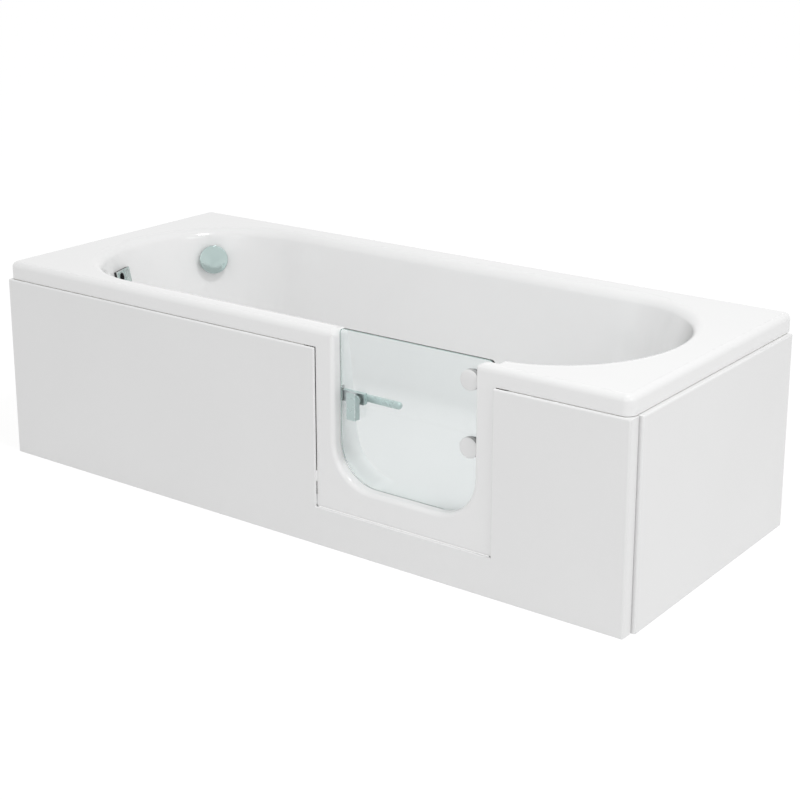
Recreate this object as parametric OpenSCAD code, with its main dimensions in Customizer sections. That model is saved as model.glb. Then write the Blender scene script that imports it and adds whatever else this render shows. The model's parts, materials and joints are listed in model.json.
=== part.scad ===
// Walk-in bath with an inward-opening glass door: moulded acrylic bath on a steel
// cradle, two clip-on panels, glazed door on two hinges with a rack latch, and a
// pop-up waste worked by the overflow knob.
// X runs along the bath, Y from the front panel to the wall, Z up from the ground.

/* [Bath] */
// Length of the rim
rim_l = 1675; // [1600:5:1700]
// Width of the rim
rim_w = 700; // [690:5:750]
// Height of the rim above the ground
rim_h = 475; // [460:1:500]
// Height of the turned-down edge of the rim
skirt_h = 40; // [30:1:50]
// Thickness of the moulded acrylic
wall = 5; // [4:0.5:7]
// Radius of the top outer edge of the rim
edge_r = 14; // [8:1:18]
// Radius of the four corners of the rim in plan
corner_r = 21; // [19:1:40]

/* [Basin] */
// Height of the basin floor above the ground
floor_z = 98; // [94:1:104]
// Width of the basin mouth
mouth_w = 610; // [590:5:620]
// Width of the ledge between the front of the rim and the basin mouth
ledge_front = 38; // [34:1:42]
// Width of the ledge at the waste end
ledge_foot = 66; // [50:1:80]
// Width of the ledge at the backrest end
ledge_back = 71; // [50:1:80]
// Length of the rounded waste end of the mouth
end_foot = 285; // [260:5:300]
// Length of the rounded backrest end of the mouth
end_back = 263; // [255:1:300]
// Radius with which the rim rolls down into the basin
roll_r = 25; // [18:1:28]
// Radius between the basin walls and its floor
sweep_r = 60; // [40:5:70]
// Slope of the long basin walls from upright, in degrees
side_draft = 7; // [5:0.5:9]
// Slope of the waste end from upright, in degrees
foot_draft = 12; // [8:1:16]
// Slope of the backrest from upright, in degrees
back_draft = 26; // [20:1:27]

/* [Doorway] */
// Distance from the backrest end of the rim to the middle of the doorway
door_in = 515; // [508:0.5:537]
// Clear width of the doorway
opening_w = 350; // [320:5:360]
// Height of the sill above the ground
sill_z = 145; // [140:1:180]
// Radius of the two lower corners of the doorway
opening_r = 92; // [60:1:110]
// Radius of the two upper corners, where the rim turns down into the doorway
brow_r = 17; // [8:1:24]
// Radius of the lower corner of the hinge pocket
pocket_r = 40; // [32:1:48]
// Radius of the rounded front edge of the doorway
mouth_r = 10; // [4:1:14]
// Width of the flat apron around the doorway
apron_w = 440; // [430:5:480]
// Height of the lower edge of the apron above the ground
apron_z = 86; // [70:1:110]
// Depth of the frame in front of the door
flange_t = 23; // [18:1:26]
// Step by which the doorway widens behind that frame
rebate = 5; // [4:0.5:7]
// Width of the hinge pocket behind the right side of the frame
pocket_w = 41.5; // [41.5:0.5:50]
// Thickness of the walls round the doorway
frame_t = 7; // [5:0.5:9]

/* [Door] */
// Thickness of the glass
glass_t = 8; // [6:1:10]
// Height by which the glass stands above the rim
glass_rise = 2; // [0:0.5:5]
// Gap between the edge of the glass and the rebate
glass_gap = 3; // [2:0.5:3.5]
// Radius of the upper corners of the glass
glass_corner_r = 10; // [4:1:14]
// Thickness of the rubber door seal
seal_t = 2; // [1.5:0.1:3]
// Width of the rubber door seal
seal_w = 4; // [3:0.5:4.5]

/* [Hinges] */
// Distance from the top of the rim to the upper hinge
hinge_drop = 43; // [39:1:50]
// Distance between the two hinges
hinge_gap = 139; // [122:1:162]
// Height of a hinge leaf
leaf_h = 38; // [30:1:42]
// Thickness of a hinge leaf
leaf_t = 5; // [4:0.5:6]
// Radius of the hinge pin
pin_r = 3; // [2.5:0.5:3.5]
// Radius of the knuckle round the hinge pin
knuckle_r = 6.5; // [5.5:0.1:6.5]
// Radius of the round caps on the outside of the glass
cap_r = 21.5; // [16:0.5:22]
// Thickness of those caps
cap_t = 14; // [10:1:16]
// Thickness of the hinge bracket
bracket_t = 3; // [2:0.5:3]
// Height of the lugs that hold the hinge pin
lug_h = 6; // [4:1:8]
// Radius of the bolt through the glass
hinge_bolt_r = 5; // [3:0.5:6]

/* [Latch] */
// Distance from the left side of the doorway to the latch spindle
latch_in = 40.5; // [38:0.5:60]
// Distance from the top of the rim to the latch spindle
latch_drop = 145; // [125:1:175]
// Radius of the latch spindle
spindle_r = 4; // [3:0.5:4.5]
// Size of one tooth of the latch pinion, as its gear module
tooth = 0.8; // [0.8:0.1:1]
// Number of teeth on the latch pinion
teeth = 16; // [14:1:18]
// Play between the teeth
backlash = 0.2; // [0.1:0.05:0.3]
// Thickness of the pinion and of the bolt
bolt_t = 7; // [5:0.5:8]
// Height of the bolt nose
nose_h = 16; // [12:1:16]
// Wall thickness of the latch case
case_wall = 2; // [1.5:0.5:3]
// Width of the outer lever
lever_w = 23; // [18:1:26]
// Length of the outer lever below the spindle
lever_low = 39; // [30:1:50]
// Length of the outer lever above the spindle
lever_high = 21; // [16:1:26]
// Depth of the outer lever
lever_t = 17; // [12:1:20]
// Length of the inner handle from the spindle
handle_l = 98; // [80:1:110]
// Radius of the inner handle
handle_r = 8; // [6:0.5:10]

/* [Waste] */
// Distance from the waste end of the rim to the waste
waste_in = 277.5; // [268:0.5:297]
// Radius of the waste flange
waste_flange_r = 35; // [33:1:38]
// Radius of the waste tail
waste_tail_r = 21; // [19:0.5:23]
// Radius of the plug
plug_r = 27; // [24:1:28]
// Radius of the plug stem
stem_r = 4; // [3:0.5:5]
// Radius of the pipe that the trap outlet takes
trap_pipe_r = 21.6; // [18:0.1:22]
// Radius of the overflow pipe
overflow_pipe_r = 11; // [9:0.5:13]

/* [Overflow knob] */
// Place of the knob round the waste end, in degrees
knob_angle = 138; // [130:1:150]
// Distance from the top of the rim to the knob
knob_drop = 75; // [65:1:90]
// Radius of the knob
knob_r = 36; // [30:1:40]
// Thickness of the knob
knob_t = 17; // [12:1:24]
// Gap behind the knob, where the water runs in
knob_gap = 7; // [4:1:12]
// Place of the overflow slot round the waste end, in degrees
slot_angle = 200; // [195:1:210]
// Distance from the top of the rim to the overflow slot
slot_drop = 73; // [65:1:90]
// Width of the cover of the overflow slot
slot_w = 64; // [50:1:80]
// Height of the cover of the overflow slot
slot_h = 38; // [30:1:44]

/* [Panels] */
// Distance by which the front panel is set towards the backrest end
panel_shift = 3.5; // [0:0.5:6]
// Distance by which the front panel stands in front of the rim
front_proud = 7; // [6:0.5:12]
// Distance by which the end panel stands beyond the rim
end_proud = 11.5; // [8:0.5:14]
// Thickness of a panel
panel_t = 4; // [3:0.5:5]
// Depth of the turned-in edges of a panel
return_d = 31; // [20:1:36]
// Radius of the outer edges of a panel
panel_edge_r = 4; // [1:0.5:6]
// Distance from the back of the rim to the end panel
end_panel_in = 24; // [20:1:80]
// Gap between a panel and its neighbours
panel_gap = 1; // [0.5:0.1:2]

/* [Cradle] */
// Thickness of the base board
board_t = 16; // [12:1:18]
// Width of the base board
board_w = 340; // [300:10:380]
// Width of a cradle rail
rail_w = 40; // [30:1:50]
// Height of a cradle rail
rail_h = 24; // [20:1:26]
// Thickness of the rail steel
rail_t = 2; // [1.5:0.5:3]
// Radius of a levelling stud
stud_r = 5; // [4:0.5:6]
// Radius of a foot
foot_r = 24; // [18:1:30]
// Height of a foot
foot_h = 12; // [8:1:14]
// Height of a levelling nut
nut_h = 8; // [5:1:8]
// Width of a timber batten
batten_w = 34; // [20:1:38]
// Thickness of a timber batten
batten_t = 18; // [15:1:22]

/* [Hidden] */
$fn = 64;
hull_fn = 32;
eps = 0.01;
fit = 0.05;          // radial play of a shaft in its hole
slack = 0.4;         // free space beside parts that do not touch
over = 1;            // distance by which a cutter runs past a face

// Rim, mouth and frame planes
rim_x = rim_l / 2;
door_x = rim_x - door_in;
front_y = -rim_w / 2;
mouth_y = front_y + ledge_front + mouth_w / 2;
foot_cx = -rim_x + ledge_foot + end_foot;
back_cx = rim_x - ledge_back - end_back;
under_z = floor_z - wall;
flange_y = front_y + flange_t;
left_x = door_x - opening_w / 2;
right_x = door_x + opening_w / 2;
pocket_x = right_x + pocket_w;
cut_rise = 20;       // height by which a cutter runs above the glass
tall = rim_h + glass_rise + cut_rise;
wall_cut = 20;       // half-length of a cutter through the basin wall

// Door planes
gasket_t = 0.5;
glass_y = flange_y + seal_t + slack;
glass_back_y = glass_y + glass_t;
glass_left_x = left_x - rebate + glass_gap;
glass_low_z = sill_z - rebate + glass_gap;
knuckle_gap = 1;
pin_x = pocket_x - bracket_t - knuckle_r - knuckle_gap;
pin_y = glass_back_y + gasket_t + leaf_t + knuckle_r - slack;
glass_pin_gap = 5.5;
glass_right_x = pin_x - glass_pin_gap;
cap_gap = 1.5;
cap_x = right_x - cap_r - cap_gap;
hinge_heights = [rim_h - hinge_drop - hinge_gap, rim_h - hinge_drop];

// Hinge details
cap_dome = 4;        // rise of the dome of a cap
dome_share = 2.4;    // radius of that dome, as a share of the cap radius
dome_fn = 200;
bolt_in = 7;         // depth of the hinge bolt in its cap
bolt_head = 3;       // height of its head, and width of the head round the shank
bolt_room = 2;       // space round it in the glass and the washers
knuckle_web = 9;
bracket_front = 12;
bracket_back = 16;
bracket_screw_in = 9;
pin_head = 1.5;
screw_r = 1.75;
screw_head_r = 4.5;
screw_head_h = 2.5;

// Latch
latch_x = left_x + latch_in;
latch_z = rim_h - latch_drop;
pitch_r = tooth * teeth / 2;
throw = PI / 2 * pitch_r;
rack_z = latch_z + pitch_r;
rack_bar_h = 4;
pressure = 20;       // pressure angle of the teeth
rack_tip = 0.8;      // teeth: tips and roots, in gear modules
rack_root = 1.25;
pinion_root = 1.2;
case_gap = 0.5;
case_end = 6;
case_left_x = glass_left_x + case_gap;
case_right_x = latch_x + throw + case_end;
case_top_z = rack_z + rack_root * tooth + rack_bar_h + slack + case_wall;
case_low_z = latch_z - pitch_r - tooth - slack - case_wall;
plate_y = glass_back_y + gasket_t;
plate_t = 1.5;
bolt_y = plate_y + plate_t + slack;
bolt_mid_y = bolt_y + bolt_t / 2;
case_back_y = bolt_y + bolt_t + slack + case_wall;
nose_top_z = case_top_z - case_wall - slack;
nose_mid_z = nose_top_z - nose_h / 2;
handle_y = case_back_y + slack + handle_r;
handle_tail = 12;
bush_wall = 4;
bush_r = spindle_r + bush_wall;
rose_t = 2;
rose_rim = 3;
lever_y = glass_y - rose_t;
lever_front = lever_y - slack - lever_t;
lever_tip_t = 5;
lever_rim = 2;
spindle_cover = 4;   // metal over each end of the spindle
spindle_end_y = lever_front + spindle_cover;
spindle_back_y = handle_y + handle_r - spindle_cover;

// Keeper
keeper_t = 2;
keeper_h = 34;
keeper_w = 17;
keeper_x = left_x - rebate - keeper_t;
keeper_screw_r = 1.5;
keeper_screw_l = 5.5;
keeper_screw_in = 4;
keeper_play = 2.2;   // free space round the bolt in the keeper

// Waste
waste_x = -rim_x + waste_in;
waste_wall = 3;
waste_flange_t = 2.5;
recess_t = 2;
guide_t = 5;
guide_drop = 4;      // depth of the stem guide below the face of the moulding
waste_hole_r = 4.5;
waste_hole_at = 11;
waste_nut_h = 8;
waste_nut_rim = 8;
plug_lift = 1;
plug_bevel = 2;
plug_h = 6;
nut_gap = 1;
body_wall = 9;
body_rim = 2;
body_r = waste_tail_r + body_wall;
body_h = 2 * (overflow_pipe_r + body_rim);
socket_wall = 1.5;
body_top_z = under_z - waste_nut_h - nut_gap;
body_socket = 16;
cap_h = 8;
cap_step = 2;        // step from the trap in to its cap
grip_r = 3;
grip_step = 30;
grip_end = 1;        // distance from the trap to the ends of the grip ribs
trap_r = 36;
trap_low_z = 14;
trap_top_z = body_top_z - body_h - slack;
trap_wall = 4;
trap_out_z = trap_top_z - trap_pipe_r - trap_wall;
trap_out_l = 90;
trap_socket = 26;
tail_in = 8;
tail_low_z = trap_top_z - tail_in;

// Overflow
knob_z = rim_h - knob_drop;
slot_z = rim_h - slot_drop;
pipe_wall = 2.5;
knob_bevel = 3;
knob_back_bevel = 2;
shaft_r = 5;
shaft_l = 30;
ring_r = 29;
ring_t = 2.5;
ring_lift = 2.5;
sleeve_l = 34;
drain_r = 1.6;
drain_fn = 16;
drain_step = 60;
overflow_nut_h = 8;
overflow_nut_rim = 13;
slot_lip = 4;
slot_proud = 10;
elbow_wall = 5;
elbow_front = 16;
elbow_in = 48;
elbow_back = 58;
elbow_h = 50;
elbow_low_z = knob_z - elbow_h;
elbow_socket = 24;
bend_r = 26;
bend_socket = 14;
bend_ball = 1;
drop_z = body_top_z - body_h / 2;

// Panels
panel_h = rim_h - skirt_h - panel_gap;
front_panel_y = front_y - front_proud;
end_panel_y = front_panel_y + return_d + 2 * panel_gap;
end_panel_w = rim_w / 2 - end_panel_in - end_panel_y;
end_x = rim_x + end_proud;
frame_notch = 30;
clip_in_foot = 237.5;
clip_in_door = 150;
clip_in_back = 157.5;
clip_xs = [-rim_x + clip_in_foot, door_x - apron_w / 2 - clip_in_door, rim_x - clip_in_back];
clip_w = 40;
clip_d = 14;
clip_t = 1.5;

// Timber and cradle
corner_gap = 60;
batten_z = rim_h - wall - batten_t;
batten_gap = 4;
end_batten_in = 150;
end_batten_y = rim_w / 2 - end_batten_in;
front_batten_w = min(batten_w, ledge_front - edge_r - slack);
back_batten_w = min(batten_w, rim_w - ledge_front - mouth_w - edge_r - slack);
board_gap = 70;      // distance from the waste to the base board
board_past = 40;     // length of the board under the rounded backrest end
board_x1 = waste_x + board_gap;
board_x2 = back_cx + board_past;
rail_top_z = under_z - board_t;
rail_inset = 60;
rail_end = 25;
rail_xs = [board_x1 + rail_inset, (board_x1 + board_x2) / 2, board_x2 - rail_inset];
stud_in = 88;
stud_y = rim_w / 2 - stud_in;
stud_sink = 7;
stud_rise = 17;
nut_r = 1.9 * stud_r;
foot_edge_h = 4;
foot_neck = 6;
screw_cover = 3;
screw_l = rail_t + board_t - screw_cover;

// ---- Basin ----

ring_step = 5;
sweep_steps = 6;
roll_steps = 6;
ring_angles = concat([for (a = [-90:ring_step:90]) [a, 1]],
    [for (a = [90:ring_step:270]) [a, -1]]);

// Point of the basin at angle a round one end, between the profile point e of that
// end and the profile point s of the long sides. Both hold a set-in and a height.
function basin_point(a, side, e, s) = [
    side > 0 ? back_cx + (end_back - e[0]) * cos(a) : foot_cx + (end_foot - e[0]) * cos(a),
    mouth_y + (mouth_w / 2 - s[0]) * sin(a),
    e[1] * pow(cos(a), 2) + s[1] * pow(sin(a), 2)];

// Set-in of a wall that slopes by d, at height z.
function wall_in(d, z) = roll_r * cos(d) + (rim_h - roll_r * (1 - sin(d)) - z) * tan(d);

function sweep_centre(d) = let (zc = floor_z + sweep_r)
    [wall_in(d, zc - sweep_r * sin(d)) + sweep_r * cos(d), zc];

function sweep_points(d, r) = [for (k = [0:sweep_steps])
    let (b = 90 - (90 - d) * k / sweep_steps) sweep_centre(d) - r * [cos(b), sin(b)]];

function roll_points(d, r) = [for (k = [0:roll_steps])
    let (a = (90 - d) * (1 - k / roll_steps)) [r * sin(a), rim_h - roll_r + r * cos(a)]];

// Set-in and height of the inner and of the outer face, from the floor to the rim.
function inner_profile(d) = concat(sweep_points(d, sweep_r), roll_points(d, roll_r),
    [[0, tall]]);
function outer_profile(d) = concat(sweep_points(d, sweep_r + wall),
    roll_points(d, roll_r - wall), [[0, rim_h - wall / 2]]);

// Solid through the profiles of the waste end, the backrest and the long sides.
module basin_loft(foot, back, sides) {
    n = len(ring_angles);
    levels = len(sides);
    points = [for (k = [0:levels - 1]) for (p = ring_angles)
        basin_point(p[0], p[1], p[1] > 0 ? back[k] : foot[k], sides[k])];
    walls = [for (k = [0:levels - 2]) for (i = [0:n - 1])
        let (j = (i + 1) % n, a = k * n, b = a + n)
        each [[a + i, b + i, b + j], [a + i, b + j, a + j]]];
    bottom = [[for (i = [0:n - 1]) i]];
    top = [[for (i = [0:n - 1]) levels * n - 1 - i]];
    polyhedron(points, concat(walls, bottom, top), convexity = 6);
}

module basin_inside() {
    basin_loft(inner_profile(foot_draft), inner_profile(back_draft), inner_profile(side_draft));
}

module basin_outside() {
    basin_loft(outer_profile(foot_draft), outer_profile(back_draft), outer_profile(side_draft));
}

// Point t of the way up the straight wall at angle a round the waste end.
function up_wall(d, t) = let (low = sweep_points(d, sweep_r)[sweep_steps],
    top = roll_points(d, roll_r)[0]) low + t * (top - low);
function foot_wall(a, t) = basin_point(a, -1, up_wall(foot_draft, t), up_wall(side_draft, t));

// Place on that wall at height z, and the direction that leaves it into the basin.
function wall_share(a, z) = let (low = foot_wall(a, 0)[2], top = foot_wall(a, 1)[2])
    (z - low) / (top - low);
function wall_place(a, z) = foot_wall(a, wall_share(a, z));
function wall_normal(a, z) = let (t = wall_share(a, z),
    n = cross(foot_wall(a, t + 0.01) - foot_wall(a, t), foot_wall(a + 1, t) - foot_wall(a - 1, t)))
    n / norm(n);

// ---- Shared shapes ----

// Everything is drawn about the middle of the rim, then moved so that the middle of
// the whole footprint lies over the origin.
module place() {
    translate([-end_proud / 2, front_proud / 2, 0]) children();
}

// Upright slab with rounded corners in plan and a rounded top edge.
module rounded_slab(l, w, z1, z2, rc, re) {
    hull() for (x = [-1, 1], y = [-1, 1])
        translate([x * (l / 2 - rc), y * (w / 2 - rc), 0]) {
            translate([0, 0, z1]) cylinder(r = rc, h = z2 - z1 - re, $fn = hull_fn);
            translate([0, 0, z2 - re]) rotate_extrude($fn = hull_fn) {
                square([rc - re, re]);
                translate([rc - re, 0]) intersection() {
                    circle(re, $fn = hull_fn);
                    square(re);
                }
            }
        }
}

// Doorway outline in X and Z, with its own radius at each lower corner.
module doorway(x1, x2, z1, z2, r1, r2) {
    translate([x1 + r1, z1 + r1]) circle(r1);
    translate([x2 - r2, z1 + r2]) circle(r2);
    translate([x1 + r1, z1]) square([x2 - x1 - r1 - r2, z2 - z1]);
    translate([x1, z1 + r1]) square([r1, z2 - z1 - r1]);
    translate([x2 - r2, z1 + r2]) square([r2, z2 - z1 - r2]);
}

// Spandrel that turns the corner between a doorway side and the rim.
module brow(x, dir, r) {
    difference() {
        translate([dir > 0 ? x - eps : x - r, rim_h - r])
            square([r + eps, r + tall - rim_h]);
        translate([x + dir * r, rim_h - r]) circle(r);
    }
}

// Flat outline in X and Z, made solid from depth y1 to depth y2.
module deep(y1, y2) {
    translate([0, y2, 0]) rotate([90, 0, 0]) linear_extrude(y2 - y1) children();
}

// Round bar along Y.
module bar_y(x, z, y1, y2, r) {
    translate([x, y2, z]) rotate([90, 0, 0]) cylinder(r = r, h = y2 - y1);
}

// Round bar along X.
module bar_x(x1, x2, y, z, r) {
    translate([x1, y, z]) rotate([0, 90, 0]) cylinder(r = r, h = x2 - x1);
}

// Box from one corner to the other.
module box(a, b) {
    translate(a) cube(b - a);
}

// Frame of a fitting on the basin wall: Z points into the basin, X runs along the wall.
module on_wall(a, z) {
    n = wall_normal(a, z);
    translate(wall_place(a, z)) rotate([0, acos(n[2]), atan2(n[1], n[0])])
        rotate([0, 0, 90]) children();
}

// ---- Bath ----

// Quarter-round cutter along the front edge of the doorway.
module mouth_profile() {
    difference() {
        translate([-eps, -eps]) square(mouth_r + eps);
        translate([mouth_r, mouth_r]) circle(mouth_r);
    }
}

module mouth_side(x, dir) {
    translate([x, front_y, sill_z + opening_r]) mirror([dir < 0 ? 1 : 0, 0, 0])
        linear_extrude(tall - sill_z - opening_r) mouth_profile();
}

module mouth_corner(x, dir) {
    translate([x, front_y, sill_z + opening_r]) mirror([dir < 0 ? 0 : 1, 0, 0])
        rotate([90, 0, 0]) mirror([0, 0, 1]) rotate_extrude(angle = -90)
            translate([opening_r, 0]) mouth_profile();
}

module mouth_rounding() {
    mouth_side(right_x, 1);
    mouth_side(left_x, -1);
    mouth_corner(left_x + opening_r, 1);
    mouth_corner(right_x - opening_r, -1);
    translate([left_x + opening_r, front_y, sill_z]) rotate([90, 0, 90])
        linear_extrude(opening_w - 2 * opening_r) mirror([0, 1, 0]) mouth_profile();
}

module front_opening() {
    doorway(left_x, right_x, sill_z, tall, opening_r, opening_r);
    brow(left_x, -1, brow_r);
    brow(right_x, 1, brow_r);
}

module rear_opening(grow) {
    doorway(left_x - rebate - grow, pocket_x + grow, sill_z - rebate - grow, tall,
        opening_r + rebate + grow, pocket_r + grow);
}

module frame_solid() {
    intersection() {
        union() {
            deep(front_y, front_y + frame_t) translate([door_x - apron_w / 2, apron_z])
                square([apron_w, rim_h - apron_z]);
            deep(front_y, mouth_y) rear_opening(frame_t);
        }
        rounded_slab(rim_l, rim_w, apron_z, rim_h, corner_r, edge_r);
    }
}

module rim_solid() {
    difference() {
        rounded_slab(rim_l, rim_w, rim_h - skirt_h, rim_h, corner_r, edge_r);
        rounded_slab(rim_l - 2 * wall, rim_w - 2 * wall, rim_h - skirt_h - eps,
            rim_h - wall, corner_r - wall, edge_r - wall);
    }
}

module bath_shell() {
    color("white") place() difference() {
        union() {
            rim_solid();
            basin_outside();
            frame_solid();
        }
        basin_inside();
        deep(front_y - over, mouth_y) front_opening();
        deep(flange_y, mouth_y) {
            rear_opening(0);
            brow(left_x - rebate, -1, brow_r);
        }
        mouth_rounding();
        keeper_recess();
        waste_recess();
        for (z = hinge_heights)
            bracket_bars(z, pocket_x - over, pocket_x + frame_t + over, screw_r + slack / 4);
        for (p = [[knob_angle, knob_z], [slot_angle, slot_z]]) on_wall(p[0], p[1])
            translate([0, 0, -wall_cut]) cylinder(r = overflow_pipe_r + slack, h = 2 * wall_cut);
    }
}

module keeper_recess() {
    keeper_outline(keeper_x, keeper_t + over, slack / 4);
    bolt_space(keeper_x + keeper_t - frame_t - over);
    keeper_screw_bars(slack / 4);
}

module waste_recess() {
    translate([waste_x, mouth_y, floor_z - recess_t])
        cylinder(r = waste_flange_r + slack, h = recess_t + over);
    translate([waste_x, mouth_y, under_z - over])
        cylinder(r = waste_tail_r + slack, h = wall + over);
}

// ---- Timber and cradle ----

module rim_battens() {
    top = rim_h - wall;
    y1 = front_y + edge_r;
    x_end = rim_x - edge_r;
    frame_left = door_x - apron_w / 2 - batten_gap;
    frame_right = max(door_x + apron_w / 2, pocket_x + frame_t) + batten_gap;
    color("burlywood") place() {
        for (x = [[-rim_x + corner_gap, frame_left], [frame_right, rim_x - corner_gap]])
            box([x[0], y1, batten_z], [x[1], y1 + front_batten_w, top]);
        box([-rim_x + corner_gap, -y1 - back_batten_w, batten_z],
            [rim_x - corner_gap, -y1, top]);
        for (x = [-x_end, x_end - batten_w])
            box([x, -end_batten_y, batten_z], [x + batten_w, end_batten_y, top]);
    }
}

module screw_places() {
    for (x = rail_xs, s = [-1, 1])
        translate([x, mouth_y + s * (board_w / 2 - rail_inset), rail_top_z]) children();
}

module stud_places() {
    for (x = rail_xs, s = [-1, 1]) translate([x, s * stud_y, 0]) children();
}

module base_board() {
    color("burlywood") place() difference() {
        box([board_x1, mouth_y - board_w / 2, rail_top_z],
            [board_x2, mouth_y + board_w / 2, under_z]);
        screw_places() translate([0, 0, -over])
            cylinder(r = screw_r + slack / 2, h = board_t);
    }
}

// Channel rails, open underneath.
module cradle_rails() {
    end_y = stud_y + rail_end;
    low = rail_top_z - rail_h;
    color("silver") place() difference() {
        for (x = rail_xs) difference() {
            box([x - rail_w / 2, -end_y, low], [x + rail_w / 2, end_y, rail_top_z]);
            box([x - rail_w / 2 + rail_t, -end_y - over, low - over],
                [x + rail_w / 2 - rail_t, end_y + over, rail_top_z - rail_t]);
        }
        stud_places() cylinder(r = stud_r + slack, h = rail_top_z + over);
        screw_places() translate([0, 0, -rail_t - over])
            cylinder(r = screw_r + slack, h = rail_t + 2 * over);
    }
}

module rail_screws() {
    color("dimgray") place() screw_places() translate([0, 0, -rail_t]) {
        cylinder(r = screw_r, h = screw_l);
        translate([0, 0, -screw_head_h]) cylinder(r = screw_head_r, h = screw_head_h);
    }
}

module levelling_studs() {
    low = foot_h - stud_sink;
    color("silver") place() stud_places()
        translate([0, 0, low]) cylinder(r = stud_r, h = rail_top_z + stud_rise - low);
}

// Hexagon nut with a plain bore.
module nut(z) {
    translate([0, 0, z]) difference() {
        cylinder(r = nut_r, h = nut_h, $fn = 6);
        translate([0, 0, -over]) cylinder(r = stud_r + fit, h = nut_h + 2 * over);
    }
}

module levelling_nuts() {
    color("silver") place() stud_places() {
        nut(rail_top_z);
        nut(rail_top_z - rail_t - nut_h);
        nut(foot_h + over);
    }
}

module feet() {
    color("dimgray") place() stud_places() difference() {
        rotate_extrude() polygon([[0, 0], [foot_r, 0], [foot_r, foot_edge_h],
            [stud_r + foot_neck, foot_h], [0, foot_h]]);
        translate([0, 0, foot_h - stud_sink]) cylinder(r = stud_r + fit, h = stud_sink + over);
    }
}

// ---- Panels ----

// Tray: a face with rounded outer edges and turned-in edges on all four sides.
module tray(w, h, d) {
    difference() {
        intersection() {
            linear_extrude(h) round_front(w, d);
            rotate([90, 0, 90]) linear_extrude(w) round_top(d, h);
        }
        translate([panel_t, panel_t, panel_t])
            cube([w - 2 * panel_t, d, h - 2 * panel_t]);
    }
}

// Outline with its two front corners rounded.
module round_front(w, d) {
    r = panel_edge_r;
    for (x = [r, w - r]) translate([x, r]) circle(r);
    translate([r, 0]) square([w - 2 * r, d]);
    translate([0, r]) square([w, d - r]);
}

// Outline with its upper front corner rounded.
module round_top(d, h) {
    r = panel_edge_r;
    translate([r, h - r]) circle(r);
    square([r, h - r]);
    translate([r, 0]) square([d - r, h]);
}

// The cut-out has a lip that reaches back to the apron, and the top edge is cut away
// where the doorway frame stands behind it.
module front_panel() {
    x1 = door_x - apron_w / 2 - panel_gap;
    x2 = door_x + apron_w / 2 + panel_gap;
    z1 = apron_z - panel_gap;
    lip_y = front_y - slack;
    back_y = front_panel_y + return_d + over;
    color("white") place() difference() {
        union() {
            translate([panel_shift - rim_x, front_panel_y, 0])
                tray(rim_l, panel_h, return_d);
            box([x1 - panel_t, front_panel_y + over, z1 - panel_t],
                [x2 + panel_t, lip_y, panel_h - panel_t]);
        }
        box([x1, front_panel_y - over, z1], [x2, back_y, panel_h + over]);
        box([x1 - frame_notch, lip_y, panel_h - panel_t - over],
            [x2 + frame_notch, back_y, panel_h + over]);
    }
}

module end_panel() {
    color("white") place() translate([end_x, end_panel_y, 0]) rotate([0, 0, 90])
        tray(end_panel_w, panel_h, return_d);
}

// Battens on the floor behind the lower edges of the panels.
module floor_battens() {
    top = panel_t + batten_w;
    y1 = front_panel_y + panel_t;
    x2 = end_x - panel_t;
    x_end = rim_x - corner_gap;
    color("burlywood") place() {
        box([-x_end, y1, panel_t], [x_end, y1 + batten_t, top]);
        box([x2 - batten_t, end_panel_y + corner_gap, panel_t],
            [x2, end_panel_y + end_panel_w - corner_gap, top]);
    }
}

// Spring clip: a foot on the top edge of the panel, a leg and a flange for the batten.
module clip(h) {
    box([-clip_w / 2, 0, 0], [clip_w / 2, clip_d, clip_t]);
    box([-clip_w / 2, clip_d - clip_t, 0], [clip_w / 2, clip_d, h]);
    box([-clip_w / 2, clip_d - clip_t, h - clip_t], [clip_w / 2, 2 * clip_d, h]);
}

module panel_clips() {
    z1 = panel_h + slack;
    color("silver") place() for (x = clip_xs)
        translate([x, front_y + wall + slack, z1]) clip(batten_z - z1);
}

// ---- Door ----

module glass_outline() {
    r = opening_r + rebate - glass_gap;
    z2 = rim_h + glass_rise;
    c = glass_corner_r;
    doorway(glass_left_x, glass_right_x, glass_low_z, z2 - c, r, r);
    for (x = [glass_left_x + c, glass_right_x - c]) translate([x, z2 - c]) circle(c);
    translate([glass_left_x + c, z2 - 2 * c])
        square([glass_right_x - glass_left_x - 2 * c, 2 * c]);
}

module door_glass() {
    y1 = glass_y - over;
    y2 = glass_back_y + over;
    color("paleturquoise") place() difference() {
        deep(glass_y, glass_back_y) glass_outline();
        for (z = hinge_heights) bar_y(cap_x, z, y1, y2, hinge_bolt_r + bolt_room);
        bar_y(latch_x, latch_z, y1, y2, bush_r + fit);
    }
}

module door_seal() {
    color("gainsboro") place() deep(flange_y, flange_y + seal_t) difference() {
        doorway(left_x - seal_w, right_x + seal_w, sill_z - seal_w, rim_h - brow_r - seal_t,
            opening_r + seal_w, opening_r + seal_w);
        doorway(left_x, right_x, sill_z, tall, opening_r, opening_r);
    }
}

// Domed cap that covers a hinge bolt.
module hinge_caps() {
    flat_t = cap_t - cap_dome;
    dome_r = dome_share * cap_r;
    color("whitesmoke") place() for (z = hinge_heights)
        translate([cap_x, glass_y - gasket_t, z]) rotate([90, 0, 0]) difference() {
            rotate_extrude() {
                square([cap_r, flat_t]);
                translate([0, flat_t]) intersection() {
                    translate([0, -dome_r]) circle(dome_r + cap_dome, $fn = dome_fn);
                    square([cap_r, cap_dome]);
                }
            }
            translate([0, 0, -over]) cylinder(r = hinge_bolt_r + fit, h = bolt_in + 2 * over);
        }
}

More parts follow.
